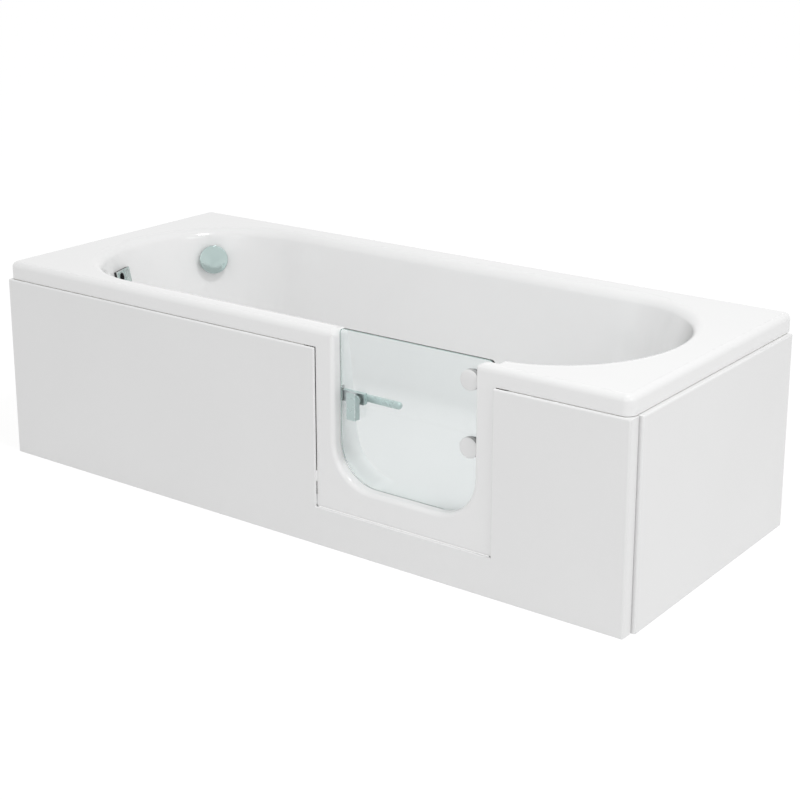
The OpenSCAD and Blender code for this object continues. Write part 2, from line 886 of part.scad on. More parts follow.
// Soft washers on both sides of the glass.
module hinge_gaskets() {
    color("dimgray") place() for (z = hinge_heights, y = [glass_y - gasket_t, glass_back_y])
        difference() {
            bar_y(cap_x, z, y, y + gasket_t, leaf_h / 2);
            bar_y(cap_x, z, y - over, y + gasket_t + over, hinge_bolt_r + bolt_room);
        }
}

module hinge_bolts() {
    leaf_y = plate_y + leaf_t;
    color("silver") place() for (z = hinge_heights) {
        bar_y(cap_x, z, glass_y - gasket_t - bolt_in, leaf_y, hinge_bolt_r);
        bar_y(cap_x, z, leaf_y, leaf_y + bolt_head, hinge_bolt_r + bolt_head);
    }
}

module hinge_leaves() {
    h = leaf_h / 2;
    color("silver") place() for (z = hinge_heights) difference() {
        union() {
            box([cap_x, plate_y, z - h], [pin_x, plate_y + leaf_t, z + h]);
            bar_y(cap_x, z, plate_y, plate_y + leaf_t, h);
            box([pin_x - knuckle_web, plate_y, z - h], [pin_x, pin_y, z + h]);
            translate([pin_x, pin_y, z - h]) cylinder(r = knuckle_r, h = leaf_h);
        }
        bar_y(cap_x, z, plate_y - over, plate_y + leaf_t + over, hinge_bolt_r + fit);
        translate([pin_x, pin_y, z - leaf_h]) cylinder(r = pin_r + fit, h = 2 * leaf_h);
    }
}

// Screw axes of a bracket, as bars from x1 to x2.
module bracket_bars(z, x1, x2, r) {
    for (s = [-1, 1]) bar_x(x1, x2, pin_y + slack, z + s * (leaf_h / 2 - bracket_screw_in), r);
}

module hinge_brackets() {
    reach = leaf_h / 2 + slack;
    plate_x = pocket_x - bracket_t;
    color("silver") place() for (z = hinge_heights) difference() {
        union() {
            box([plate_x, pin_y - bracket_front, z - reach - lug_h],
                [pocket_x, pin_y + bracket_back, z + reach + lug_h]);
            for (z1 = [z + reach, z - reach - lug_h]) {
                translate([pin_x, pin_y, z1]) cylinder(r = knuckle_r, h = lug_h);
                box([pin_x, pin_y - knuckle_r, z1], [plate_x + eps, pin_y + knuckle_r, z1 + lug_h]);
            }
        }
        translate([pin_x, pin_y, z - leaf_h]) cylinder(r = pin_r + fit, h = 2 * leaf_h);
        bracket_bars(z, plate_x - over, pocket_x + over, screw_r + slack / 2);
    }
}

module hinge_pins() {
    length = leaf_h + 2 * slack + 2 * lug_h;
    color("silver") place() for (z = hinge_heights)
        translate([pin_x, pin_y, z - length / 2]) {
            cylinder(r = pin_r, h = length);
            translate([0, 0, length]) cylinder(r = pin_r + pin_head, h = pin_head);
        }
}

module bracket_screws() {
    wall_x = pocket_x + frame_t;
    color("silver") place() for (z = hinge_heights) {
        bracket_bars(z, pocket_x - bracket_t, wall_x, screw_r);
        bracket_bars(z, wall_x, wall_x + screw_head_h, screw_head_r);
    }
}

// ---- Latch ----

module glass_bush() {
    color("gainsboro") place() difference() {
        bar_y(latch_x, latch_z, glass_y, glass_back_y, bush_r);
        bar_y(latch_x, latch_z, glass_y - over, glass_back_y + over, spindle_r + fit);
    }
}

module lever_rose() {
    color("silver") place() difference() {
        bar_y(latch_x, latch_z, lever_y, glass_y, bush_r + rose_rim);
        bar_y(latch_x, latch_z, lever_y - over, glass_y + over, spindle_r + fit);
    }
}

// Outer lever: flat face, back cut away towards its top.
module outer_lever() {
    back = lever_y - slack;
    top = latch_z + lever_high;
    low = latch_z - lever_low;
    color("lightgray") place() difference() {
        translate([latch_x - lever_w / 2, 0, 0]) rotate([90, 0, 90]) linear_extrude(lever_w)
            polygon([[lever_front, low], [back, low], [back, latch_z + spindle_r + lever_rim],
                [lever_front + lever_tip_t, top], [lever_front, top]]);
        bar_y(latch_x, latch_z, spindle_end_y, back + over, spindle_r + fit);
    }
}

module latch_spindle() {
    color("silver") place()
        bar_y(latch_x, latch_z, spindle_end_y, spindle_back_y, spindle_r);
}

// Involute of a circle of radius r, at roll angle t in degrees.
function involute(r, t) = r * [cos(t) + t * PI / 180 * sin(t), sin(t) - t * PI / 180 * cos(t)];
function turn(p, a) = [p[0] * cos(a) - p[1] * sin(a), p[0] * sin(a) + p[1] * cos(a)];
base_r = pitch_r * cos(pressure);
flank_steps = 5;
half_tooth = 90 / teeth - backlash / 4 / pitch_r * 180 / PI;
lead = half_tooth + (tan(pressure) * 180 / PI - pressure);
flank = [for (k = [0:flank_steps])
    involute(base_r, k / flank_steps * sqrt(pow((pitch_r + tooth) / base_r, 2) - 1) * 180 / PI)];
root_r = pitch_r - pinion_root * tooth;
tooth_outline = concat([turn([root_r, 0], -lead)],
    [for (p = flank) turn(p, -lead)],
    [for (k = [flank_steps:-1:0]) turn([flank[k][0], -flank[k][1]], lead)],
    [turn([root_r, 0], lead)]);

module latch_pinion() {
    color("silver") place() translate([latch_x, bolt_y + bolt_t, latch_z]) rotate([90, 0, 0])
        linear_extrude(bolt_t) difference() {
            polygon([for (i = [0:teeth - 1]) for (p = tooth_outline)
                turn(p, 90 + i * 360 / teeth)]);
            circle(spindle_r + fit);
        }
}

// Rack tooth, with its middle at x and pointing down from the bar.
module rack_tooth(x) {
    half = PI * tooth / 4 - backlash / 4;
    tip = rack_tip * tooth;
    base = rack_root * tooth;
    polygon([[x - half - base * tan(pressure), rack_z + base + eps],
        [x - half + tip * tan(pressure), rack_z - tip],
        [x + half - tip * tan(pressure), rack_z - tip],
        [x + half + base * tan(pressure), rack_z + base + eps]]);
}

module latch_bolt() {
    pitch = PI * tooth;
    nose_right = latch_x - pitch_r - tooth - slack;
    bar_right = case_right_x - case_wall - slack;
    bar_z = rack_z + rack_root * tooth;
    color("silver") place() deep(bolt_y, bolt_y + bolt_t) {
        translate([case_left_x, nose_top_z - nose_h]) square([nose_right - case_left_x, nose_h]);
        translate([nose_right - eps, bar_z])
            square([bar_right - nose_right + eps, nose_top_z - bar_z]);
        for (x = [latch_x - pitch / 2:pitch:bar_right - pitch]) rack_tooth(x);
    }
}

module latch_plate() {
    color("silver") place() difference() {
        box([case_left_x, plate_y, case_low_z], [case_right_x, plate_y + plate_t, case_top_z]);
        bar_y(latch_x, latch_z, plate_y - over, plate_y + plate_t + over, spindle_r + fit);
    }
}

module latch_case() {
    color("lightgray") place() difference() {
        box([case_left_x, plate_y + plate_t, case_low_z], [case_right_x, case_back_y, case_top_z]);
        box([case_left_x + case_wall, plate_y, case_low_z + case_wall],
            [case_right_x - case_wall, case_back_y - case_wall, case_top_z - case_wall]);
        box([case_left_x - over, plate_y, nose_top_z - nose_h - slack],
            [case_left_x + case_wall + over, bolt_y + bolt_t + slack, nose_top_z + slack]);
        bar_y(latch_x, latch_z, plate_y, case_back_y + over, spindle_r + fit);
    }
}

// Inner handle: a round bar along the door, on a boss over the spindle.
module inner_handle() {
    end_x = latch_x + handle_l - handle_r;
    color("lightgray") place() difference() {
        union() {
            bar_x(latch_x - handle_tail, end_x, handle_y, latch_z, handle_r);
            translate([end_x, handle_y, latch_z]) sphere(handle_r);
            bar_y(latch_x, latch_z, case_back_y + slack, handle_y, bush_r);
        }
        bar_y(latch_x, latch_z, case_back_y, spindle_back_y, spindle_r + fit);
    }
}

// ---- Keeper ----

module keeper_outline(x1, t, play) {
    h = keeper_h / 2 + play;
    w = keeper_w / 2 + play;
    box([x1, bolt_mid_y - w, nose_mid_z - h], [x1 + t, bolt_mid_y + w, nose_mid_z + h]);
}

module bolt_space(x1) {
    box([x1, bolt_y - keeper_play, nose_top_z - nose_h - keeper_play],
        [left_x, bolt_y + bolt_t + keeper_play, nose_top_z + keeper_play]);
}

module keeper_screw_bars(play) {
    for (s = [-1, 1])
        bar_x(keeper_x + keeper_t - keeper_screw_l - play, keeper_x + keeper_t + play,
            bolt_mid_y, nose_mid_z + s * (keeper_h / 2 - keeper_screw_in), keeper_screw_r + play);
}

module keeper_plate() {
    color("silver") place() difference() {
        keeper_outline(keeper_x, keeper_t, 0);
        bolt_space(keeper_x - over);
        keeper_screw_bars(slack / 4);
    }
}

module keeper_screws() {
    color("silver") place() keeper_screw_bars(0);
}

// ---- Overflow ----

// Knob: a thick disc with bevelled edges, on a shaft.
module overflow_knob() {
    color("lightgray") place() on_wall(knob_angle, knob_z) {
        translate([0, 0, knob_gap]) rotate_extrude()
            polygon([[0, 0], [knob_r - knob_back_bevel, 0], [knob_r, knob_back_bevel],
                [knob_r, knob_t - knob_bevel], [knob_r - knob_bevel, knob_t], [0, knob_t]]);
        translate([0, 0, -shaft_l]) cylinder(r = shaft_r, h = shaft_l + knob_gap + eps);
    }
}

// Face ring of the overflow, with its bush for the knob shaft and its drain holes.
module overflow_ring() {
    bush_l = sleeve_l + ring_lift + ring_t;
    color("silver") place() on_wall(knob_angle, knob_z) difference() {
        union() {
            translate([0, 0, ring_lift]) cylinder(r = ring_r, h = ring_t);
            translate([0, 0, -sleeve_l]) cylinder(r = overflow_pipe_r, h = bush_l);
        }
        translate([0, 0, -sleeve_l - over]) {
            cylinder(r = shaft_r + fit, h = bush_l + 2 * over);
            for (a = [0:drain_step:360 - drain_step]) rotate(a)
                translate([(shaft_r + overflow_pipe_r) / 2, 0, 0])
                    cylinder(r = drain_r, h = bush_l + 2 * over, $fn = drain_fn);
        }
    }
}

module overflow_nut() {
    color("dimgray") place() on_wall(knob_angle, knob_z)
        translate([0, 0, -wall - nut_gap - overflow_nut_h]) difference() {
            cylinder(r = overflow_pipe_r + overflow_nut_rim, h = overflow_nut_h);
            translate([0, 0, -over])
                cylinder(r = overflow_pipe_r + fit, h = overflow_nut_h + 2 * over);
        }
}

drop = wall_place(knob_angle, knob_z) - elbow_in * wall_normal(knob_angle, knob_z);
run = [waste_x - drop[0], mouth_y - drop[1]];
run_angle = atan2(run[1], run[0]);
run_l = norm(run);

// Elbow behind the wall, with a socket that points down.
module overflow_elbow() {
    r = overflow_pipe_r + elbow_wall;
    bore = overflow_pipe_r - elbow_wall / 2;
    color("dimgray") place() difference() {
        union() {
            on_wall(knob_angle, knob_z) translate([0, 0, -elbow_back])
                cylinder(r = r, h = elbow_back - elbow_front);
            translate([drop[0], drop[1], elbow_low_z]) cylinder(r = r, h = elbow_h);
        }
        on_wall(knob_angle, knob_z) {
            translate([0, 0, -sleeve_l - slack])
                cylinder(r = overflow_pipe_r + slack, h = sleeve_l);
            translate([0, 0, -elbow_in]) cylinder(r = bore, h = elbow_in);
        }
        translate([drop[0], drop[1], elbow_low_z - over]) {
            cylinder(r = overflow_pipe_r + fit, h = elbow_socket + over);
            cylinder(r = bore, h = elbow_h);
        }
    }
}

// Place of the bend under the elbow, with X towards the waste.
module bend_place() {
    translate([drop[0], drop[1], drop_z]) rotate([0, 0, run_angle]) children();
}

// Both straight ends of the bend, as bars that start at distance a from it and end at b.
module bend_ends(r, a, b) {
    translate([0, 0, a]) cylinder(r = r, h = b - a);
    translate([a, 0, 0]) rotate([0, 90, 0]) cylinder(r = r, h = b - a);
}

module pipe_bend() {
    bore = overflow_pipe_r - pipe_wall;
    outer = overflow_pipe_r + pipe_wall;
    mouth = bend_r + bend_socket;
    color("dimgray") place() bend_place() difference() {
        union() {
            bend_ends(outer, 0, mouth);
            sphere(outer + bend_ball);
        }
        bend_ends(bore, 0, mouth + over);
        sphere(bore + bend_ball);
        bend_ends(overflow_pipe_r + fit, bend_r, mouth + over);
    }
}

// Pipes from the elbow down to the bend, and from there across to the waste.
module overflow_pipe() {
    down = [bend_r, elbow_low_z + elbow_socket - slack - drop_z];
    across = [bend_r, run_l - body_r];
    color("whitesmoke") place() bend_place() difference() {
        pipe_pair(down, across, overflow_pipe_r);
        pipe_pair(down - [over, -over], across - [over, -over], overflow_pipe_r - pipe_wall);
    }
}

module pipe_pair(down, across, r) {
    translate([0, 0, down[0]]) cylinder(r = r, h = down[1] - down[0]);
    translate([across[0], 0, 0]) rotate([0, 90, 0]) cylinder(r = r, h = across[1] - across[0]);
}

// Cover of the overflow slot, cut at the back to the curve of the wall.
module slot_cover() {
    color("gainsboro") place() difference() {
        intersection() {
            on_wall(slot_angle, slot_z) translate([-slot_w / 2, -slot_h / 2, -slot_lip])
                cube([slot_w, slot_h, slot_lip + slot_proud]);
            translate(slack / 2 * wall_normal(slot_angle, slot_z)) basin_inside();
        }
        on_wall(slot_angle, slot_z) {
            translate([-slot_w / 2 + slot_lip, -slot_h / 2 + slot_lip, slot_lip])
                cube([slot_w - 2 * slot_lip, slot_h - 2 * slot_lip, slot_proud]);
            translate([0, 0, -slot_proud])
                cylinder(r = overflow_pipe_r + fit, h = 2 * slot_proud);
        }
    }
}

module slot_hose_tail() {
    color("dimgray") place() on_wall(slot_angle, slot_z) translate([0, 0, -sleeve_l])
        difference() {
            cylinder(r = overflow_pipe_r, h = sleeve_l + slot_lip);
            translate([0, 0, -over])
                cylinder(r = overflow_pipe_r - pipe_wall, h = sleeve_l + slot_lip + 2 * over);
        }
}

// ---- Waste ----

module waste_flange() {
    tail_h = floor_z - recess_t - tail_low_z;
    guide_z = tail_h - guide_drop - guide_t;
    color("silver") place() translate([waste_x, mouth_y, tail_low_z]) difference() {
        union() {
            translate([0, 0, tail_h]) cylinder(r = waste_flange_r, h = waste_flange_t);
            cylinder(r = waste_tail_r, h = tail_h + eps);
        }
        translate([0, 0, guide_z + guide_t])
            cylinder(r = waste_tail_r - waste_wall, h = tail_h + waste_flange_t);
        translate([0, 0, -over]) {
            cylinder(r = waste_tail_r - waste_wall, h = guide_z + over);
            cylinder(r = stem_r + fit, h = tail_h);
            for (a = [0:90:270]) rotate(a) translate([waste_hole_at, 0, 0])
                cylinder(r = waste_hole_r, h = tail_h);
        }
    }
}

module waste_plug() {
    color("lightgray") place() translate([waste_x, mouth_y, 0]) {
        translate([0, 0, floor_z + plug_lift]) rotate_extrude()
            polygon([[0, 0], [plug_r - plug_bevel, 0], [plug_r, plug_bevel],
                [plug_r - plug_bevel, 2 * plug_bevel], [0, plug_h]]);
        translate([0, 0, tail_low_z])
            cylinder(r = stem_r, h = floor_z + plug_lift - tail_low_z + eps);
    }
}

module waste_nut() {
    color("dimgray") place() translate([waste_x, mouth_y, body_top_z]) difference() {
        cylinder(r = waste_tail_r + waste_nut_rim, h = waste_nut_h);
        translate([0, 0, -over]) cylinder(r = waste_tail_r + fit, h = waste_nut_h + 2 * over);
    }
}

// Ring round the waste tail, with the socket of the overflow pipe.
module waste_body() {
    color("whitesmoke") place() translate([waste_x, mouth_y, 0]) difference() {
        union() {
            translate([0, 0, body_top_z - body_h]) cylinder(r = body_r, h = body_h);
            translate([0, 0, drop_z]) rotate([0, 0, run_angle + 180]) rotate([0, 90, 0])
                cylinder(r = overflow_pipe_r + socket_wall, h = body_r + body_socket);
        }
        translate([0, 0, body_top_z - body_h - over])
            cylinder(r = waste_tail_r + fit, h = body_h + 2 * over);
        translate([0, 0, drop_z]) rotate([0, 0, run_angle + 180]) rotate([0, 90, 0])
            translate([0, 0, body_r - over])
                cylinder(r = overflow_pipe_r + fit, h = body_socket + 2 * over);
    }
}

// Shallow trap: a bowl under the waste, with an outlet to the end of the bath.
module trap_body() {
    bowl_h = trap_top_z - trap_low_z;
    color("whitesmoke") place() translate([waste_x, mouth_y, 0]) difference() {
        union() {
            translate([0, 0, trap_low_z]) cylinder(r = trap_r, h = bowl_h);
            translate([0, 0, trap_out_z]) rotate([0, -90, 0])
                cylinder(r = trap_pipe_r + trap_wall, h = trap_out_l);
        }
        translate([0, 0, -over]) cylinder(r = trap_r + over, h = trap_low_z + over);
        translate([0, 0, trap_low_z + trap_wall])
            cylinder(r = trap_r - trap_wall, h = bowl_h - 2 * trap_wall);
        translate([0, 0, tail_low_z - over])
            cylinder(r = waste_tail_r + fit, h = trap_top_z - tail_low_z + 2 * over);
        translate([-trap_out_l - over, 0, trap_out_z]) rotate([0, 90, 0])
            cylinder(r = trap_pipe_r, h = trap_socket + over);
        translate([-trap_out_l, 0, trap_out_z]) rotate([0, 90, 0])
            cylinder(r = trap_pipe_r - trap_wall, h = trap_out_l - trap_r + 2 * trap_wall);
    }
}

// Screw cap under the trap, with grip ribs.
module trap_cap() {
    color("dimgray") place() translate([waste_x, mouth_y, trap_low_z - cap_h]) {
        cylinder(r = trap_r - cap_step, h = cap_h);
        for (a = [0:grip_step:360 - grip_step]) rotate(a) translate([trap_r - grip_r, 0, 0])
            cylinder(r = grip_r, h = cap_h - grip_end);
    }
}

bath_shell();
rim_battens();
base_board();
cradle_rails();
rail_screws();
levelling_studs();
levelling_nuts();
feet();
front_panel();
end_panel();
floor_battens();
panel_clips();
door_glass();
door_seal();
hinge_caps();
hinge_gaskets();
hinge_bolts();
hinge_leaves();
hinge_brackets();
hinge_pins();
bracket_screws();
glass_bush();
lever_rose();
outer_lever();
latch_spindle();
latch_pinion();
inner_handle();
latch_plate();
latch_case();
latch_bolt();
keeper_plate();
keeper_screws();
overflow_knob();
overflow_ring();
overflow_elbow();
overflow_nut();
overflow_pipe();
pipe_bend();
slot_cover();
slot_hose_tail();
waste_flange();
waste_plug();
waste_nut();
waste_body();
trap_body();
trap_cap();
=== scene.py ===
# %% [markdown]
# # A walk-in bath with a glass door
# The bath is a white acrylic moulding on a steel cradle, closed off by two white panels.
# Its front has a doorway with a glass door that opens inwards. This lesson dresses the
# construction model of that bath for a studio picture: every piece keeps the place and
# the size that the construction gives it, and gets soft edges and a real finish here.

# %% Load the construction model
import json
import math

import bpy
from mathutils import Matrix, Vector
from mathutils.bvhtree import BVHTree


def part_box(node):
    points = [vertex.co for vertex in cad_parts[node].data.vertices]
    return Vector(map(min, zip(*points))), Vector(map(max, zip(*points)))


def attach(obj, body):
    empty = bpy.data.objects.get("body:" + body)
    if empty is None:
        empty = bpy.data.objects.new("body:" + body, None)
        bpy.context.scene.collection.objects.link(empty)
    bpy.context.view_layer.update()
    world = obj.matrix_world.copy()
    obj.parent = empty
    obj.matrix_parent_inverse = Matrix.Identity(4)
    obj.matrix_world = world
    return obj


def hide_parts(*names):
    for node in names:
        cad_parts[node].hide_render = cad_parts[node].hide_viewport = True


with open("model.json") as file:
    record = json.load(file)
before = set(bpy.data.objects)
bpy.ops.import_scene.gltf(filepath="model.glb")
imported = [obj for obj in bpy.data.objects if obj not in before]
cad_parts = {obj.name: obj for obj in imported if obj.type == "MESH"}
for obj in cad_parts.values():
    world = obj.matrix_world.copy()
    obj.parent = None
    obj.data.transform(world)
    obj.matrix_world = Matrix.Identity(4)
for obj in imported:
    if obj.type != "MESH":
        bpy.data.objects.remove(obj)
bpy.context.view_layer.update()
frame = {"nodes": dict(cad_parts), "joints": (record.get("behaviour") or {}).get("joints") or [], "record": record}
nodes = frame["nodes"]
joints = {j["name"]: j for j in frame["joints"]}
body_of = {n: b for b, ns in frame["record"]["behaviour"]["bodies"].items() for n in ns}
MM = 0.001
UP = Vector((0, 0, 1))
FRONT = Vector((0, -1, 0))
RIGHT = Vector((1, 0, 0))

# %% [markdown]
# ## The camera
# The picture was taken from the front right, a little above the rim, with a long lens.
# The place and the turn of the camera were found by fitting the corners of the model
# to the corners in the picture. A small vertical shift of the lens takes a part of the
# lean out of the uprights.

# %% Set the camera
CAMERA_AT = (2.19348, -2.87523, 1.43968)
CAMERA_TURN = 36.635     # degrees to the left of straight ahead
CAMERA_TILT = -15.4218   # degrees, down
SENSOR = 36.0
LENS = 75.2013
SHIFT_Y = -0.125

scene = bpy.context.scene
camera_data = bpy.data.cameras.new("camera")
camera_data.sensor_width = SENSOR
camera_data.lens = LENS
camera_data.shift_y = SHIFT_Y
camera = bpy.data.objects.new("camera", camera_data)
camera.location = CAMERA_AT
camera.rotation_euler = (math.radians(90 + CAMERA_TILT), 0, math.radians(CAMERA_TURN))
scene.collection.objects.link(camera)
scene.camera = camera
scene.view_settings.view_transform = "Standard"
print("camera", CAMERA_AT, "lens", LENS)

# %% [markdown]
# ## Nodes in code
# The room, the floor and every finish are made of shader nodes. Three helpers keep that
# short: one empties the node tree of a world or a material, one adds a node and sets or
# links its sockets, and one does a sum on two values.

# %% Node helpers
def new_tree(owner):
    """The empty node tree of a world or a material."""
    owner.use_nodes = True
    owner.node_tree.nodes.clear()
    return owner.node_tree


def add(tree, kind, **values):
    """A node with its sockets set by name or number; a value that is a socket is linked."""
    node = tree.nodes.new(kind)
    for name, value in values.items():
        if name.startswith("p_"):
            setattr(node, name[2:], value)
            continue
        name = name.replace("_", " ")
        socket = node.inputs[int(name[1:])] if name[1:].isdigit() else node.inputs[name]
        if isinstance(value, bpy.types.NodeSocket):
            tree.links.new(value, socket)
        else:
            socket.default_value = value
    return node


def combine(tree, operation, a, b):
    """The result of one sum on two values."""
    return add(tree, "ShaderNodeMath", p_operation=operation, i0=a, i1=b).outputs[0]


print("node helpers ready")

# %% [markdown]
# ## The studio
# White sanitary ware is photographed in a white room. This one is pure white for the
# camera, for reflections and for what is seen through the glass; as a light it is a
# shade darker, so that the white bath doesn't burn out.

# %% Build the room
def seen_directly(tree):
    """1 for what the camera sees, also in a reflection or through glass."""
    path = add(tree, "ShaderNodeLightPath").outputs
    mirrored = combine(tree, "MAXIMUM", path["Is Glossy Ray"], path["Is Transmission Ray"])
    return combine(tree, "MAXIMUM", path["Is Camera Ray"], mirrored)


ROOM_LIGHT = 0.68
WHITE = (1, 1, 1, 1)
world = bpy.data.worlds.new("room")
scene.world = world
tree = new_tree(world)
lit = add(tree, "ShaderNodeBackground", Color=WHITE, Strength=ROOM_LIGHT)
white = add(tree, "ShaderNodeBackground", Color=WHITE, Strength=1.0)
mixed = add(tree, "ShaderNodeMixShader", i0=seen_directly(tree), i1=lit.outputs[0],
            i2=white.outputs[0])
add(tree, "ShaderNodeOutputWorld", Surface=mixed.outputs[0])
print("room light", ROOM_LIGHT)

# %% [markdown]
# The floor is one plane, so large that its edge lies far outside the picture. It has to
# look as white as the room and still carry a soft shadow, or the bath would float. So
# it shows a share of its true shading, and glows white for the rest.

# %% Lay the floor
FLOOR_SIZE = 30.0
FLOOR_COLOR = (0.86, 0.86, 0.86, 1)
FLOOR_KEEP = 0.25        # share of the true shading that is seen on the floor
FLOOR_GLOW = 1.14        # brings the rest of the floor up to pure white
bpy.ops.mesh.primitive_plane_add(size=FLOOR_SIZE, location=(0, 0, 0))
floor = bpy.context.object
floor.name = "floor"
floor_look = bpy.data.materials.new("studio_floor")
tree = new_tree(floor_look)
diffuse = add(tree, "ShaderNodeBsdfDiffuse", Color=FLOOR_COLOR)
glow = add(tree, "ShaderNodeEmission", Color=WHITE, Strength=FLOOR_GLOW)
share = combine(tree, "MULTIPLY", seen_directly(tree), 1 - FLOOR_KEEP)
mixed = add(tree, "ShaderNodeMixShader", i0=share, i1=diffuse.outputs[0], i2=glow.outputs[0])
add(tree, "ShaderNodeOutputMaterial", Surface=mixed.outputs[0])
floor.data.materials.append(floor_look)
print("floor keeps", FLOOR_KEEP)

# %% [markdown]
# A lamp high up, one like a window on the right and a broad one in front give the
# soft steps between the planes of the bath: the front edge of the rim is lightest, the end
# panel next, and the front panel darkest. None of them stands where the face of the knob
# would mirror it.

# %% Hang the lamps
def lamp(name, at, aim, size, power):
    """Square or oblong lamp: its place, the point it shines at, its metres and watts."""
    data = bpy.data.lights.new(name, "AREA")
    data.shape = "RECTANGLE"
    data.size, data.size_y = size
    data.energy = power
    light = bpy.data.objects.new(name, data)
    light.location = at
    light.rotation_euler = (Vector(aim) - Vector(at)).to_track_quat("-Z", "Y").to_euler()
    scene.collection.objects.link(light)


lamp("overhead", (1.2, -0.5, 3.0), (-0.4, 0, 0.3), (0.5, 0.5), 21)
lamp("window", (3.4, -0.9, 1.9), (0, 0, 0.3), (1.2, 1.2), 9)
lamp("front", (2.2, -4.2, 1.7), (0, 0, 0.3), (2.4, 1.8), 12)

# %% [markdown]
# ## Effects that several finishes share
# Real surfaces are never one flat value. The groups below hold the effects that more
# than one finish needs: soft patches from handling, worn edges, the grain of sawn wood
# and the fine lines of brushed metal. Each group gives colours and values only, and
# every finish sets its own amounts. All patterns are laid out on object coordinates,
# which are metres here, so a scale of 1000 is a detail of one millimetre.

# %% Start a node group
COLOR, VALUE, VECTOR = "NodeSocketColor", "NodeSocketFloat", "NodeSocketVector"


def new_group(name, inputs, outputs):
    """An empty node group; returns the group, its tree's inputs and its output node."""
    group = bpy.data.node_groups.new(name, "ShaderNodeTree")
    for socket, (kind, value) in inputs.items():
        made = group.interface.new_socket(socket, in_out="INPUT", socket_type=kind)
        made.default_value = value
    for socket, kind in outputs.items():
        group.interface.new_socket(socket, in_out="OUTPUT", socket_type=kind)
    return group, add(group, "NodeGroupInput").outputs, add(group, "NodeGroupOutput")


print("groups take", COLOR, VALUE, VECTOR)

# %% [markdown]
# Patterns come from a few kinds of node: a cloudy noise, a change of range that makes
# patches out of it, a mix of two colours, and a squeeze of the coordinates that draws a
# pattern out long. Each gets a short name of its own.

# %% Pattern helpers
def place_of(tree):
    return add(tree, "ShaderNodeTexCoord").outputs["Object"]


def noise(tree, vector, scale, detail=2.0, distortion=0.0):
    """Cloudy pattern with values round a half."""
    return add(tree, "ShaderNodeTexNoise", Vector=vector, Scale=scale, Detail=detail,
               Distortion=distortion).outputs[0]


def steps(tree, value, low, high, to_low=0.0, to_high=1.0):
    """The value spread from one range to another."""
    node = add(tree, "ShaderNodeMapRange", Value=value, From_Min=low, From_Max=high,
               To_Min=to_low, To_Max=to_high)
    return node.outputs[0]


def blend(tree, share, a, b):
    """Mix of two colours."""
    node = add(tree, "ShaderNodeMix", p_data_type="RGBA", Factor=share)
    for socket, value in ((node.inputs[6], a), (node.inputs[7], b)):
        if isinstance(value, bpy.types.NodeSocket):
            tree.links.new(value, socket)
        else:
            socket.default_value = value
    return node.outputs[2]


def stretched(tree, vector, scale):
    return add(tree, "ShaderNodeMapping", Vector=vector, Scale=scale).outputs[0]


print("pattern helpers ready")

# %% [markdown]
# The first group is for handling: large faint patches where a cloth or a hand has
# passed, a roughness that changes with them, and a fine grain for the moulded or cast
# skin. It stands behind nearly every finish on the bath.

# %% Handled surface
PATCHES = (0.38, 0.66)   # the values of the noise where a patch begins and is full
handled, given, result = new_group("handled_surface", {
    "Color": (COLOR, (0.8, 0.8, 0.8, 1)), "Patch Color": (COLOR, (0.7, 0.7, 0.7, 1)),
    "Patch Scale": (VALUE, 6.0), "Roughness": (VALUE, 0.3), "Spread": (VALUE, 0.1),
    "Grain Scale": (VALUE, 900.0),
}, {"Color": COLOR, "Roughness": VALUE, "Height": VALUE})
where = place_of(handled)
patch = noise(handled, where, given["Patch Scale"], detail=3.0, distortion=0.4)
share = steps(handled, patch, *PATCHES)
swing = combine(handled, "MULTIPLY", combine(handled, "SUBTRACT", share, 0.5), given["Spread"])
tones = blend(handled, share, given["Color"], given["Patch Color"])
handled.links.new(tones, result.inputs["Color"])
handled.links.new(combine(handled, "ADD", given["Roughness"], swing),
                  result.inputs["Roughness"])
handled.links.new(noise(handled, where, given["Grain Scale"]), result.inputs["Height"])
print("group", handled.name)

# %% [markdown]
# Edges wear first. When a piece gets its rounded edges, the new narrow faces are
# marked in an attribute named edge. This group reads that mark, breaks it up with a
# small noise and mixes in the worn colour and roughness.

# %% Worn edges
WORN_SPOTS = (0.35, 0.6)
worn, given, result = new_group("worn_edges", {
    "Color": (COLOR, (0.8, 0.8, 0.8, 1)), "Worn Color": (COLOR, (0.9, 0.9, 0.9, 1)),
    "Roughness": (VALUE, 0.3), "Worn Roughness": (VALUE, 0.2), "Amount": (VALUE, 0.5),
    "Break Scale": (VALUE, 160.0),
}, {"Color": COLOR, "Roughness": VALUE})
mark = add(worn, "ShaderNodeAttribute", p_attribute_type="GEOMETRY", p_attribute_name="edge")
broken = steps(worn, noise(worn, place_of(worn), given["Break Scale"], detail=4.0),
               *WORN_SPOTS)
share = combine(worn, "MULTIPLY", combine(worn, "MULTIPLY", mark.outputs["Fac"], broken),
                given["Amount"])
worn.links.new(blend(worn, share, given["Color"], given["Worn Color"]), result.inputs["Color"])
change = combine(worn, "SUBTRACT", given["Worn Roughness"], given["Roughness"])
change = combine(worn, "MULTIPLY", change, share)
worn.links.new(combine(worn, "ADD", given["Roughness"], change), result.inputs["Roughness"])
print("group", worn.name)

# %% [markdown]
# Sawn softwood and the lines of brushed metal are the same idea: a noise that is drawn
# out long in one direction. Stretch sets how much each axis is squeezed, so the axis
# with the small number is the one that the lines follow.

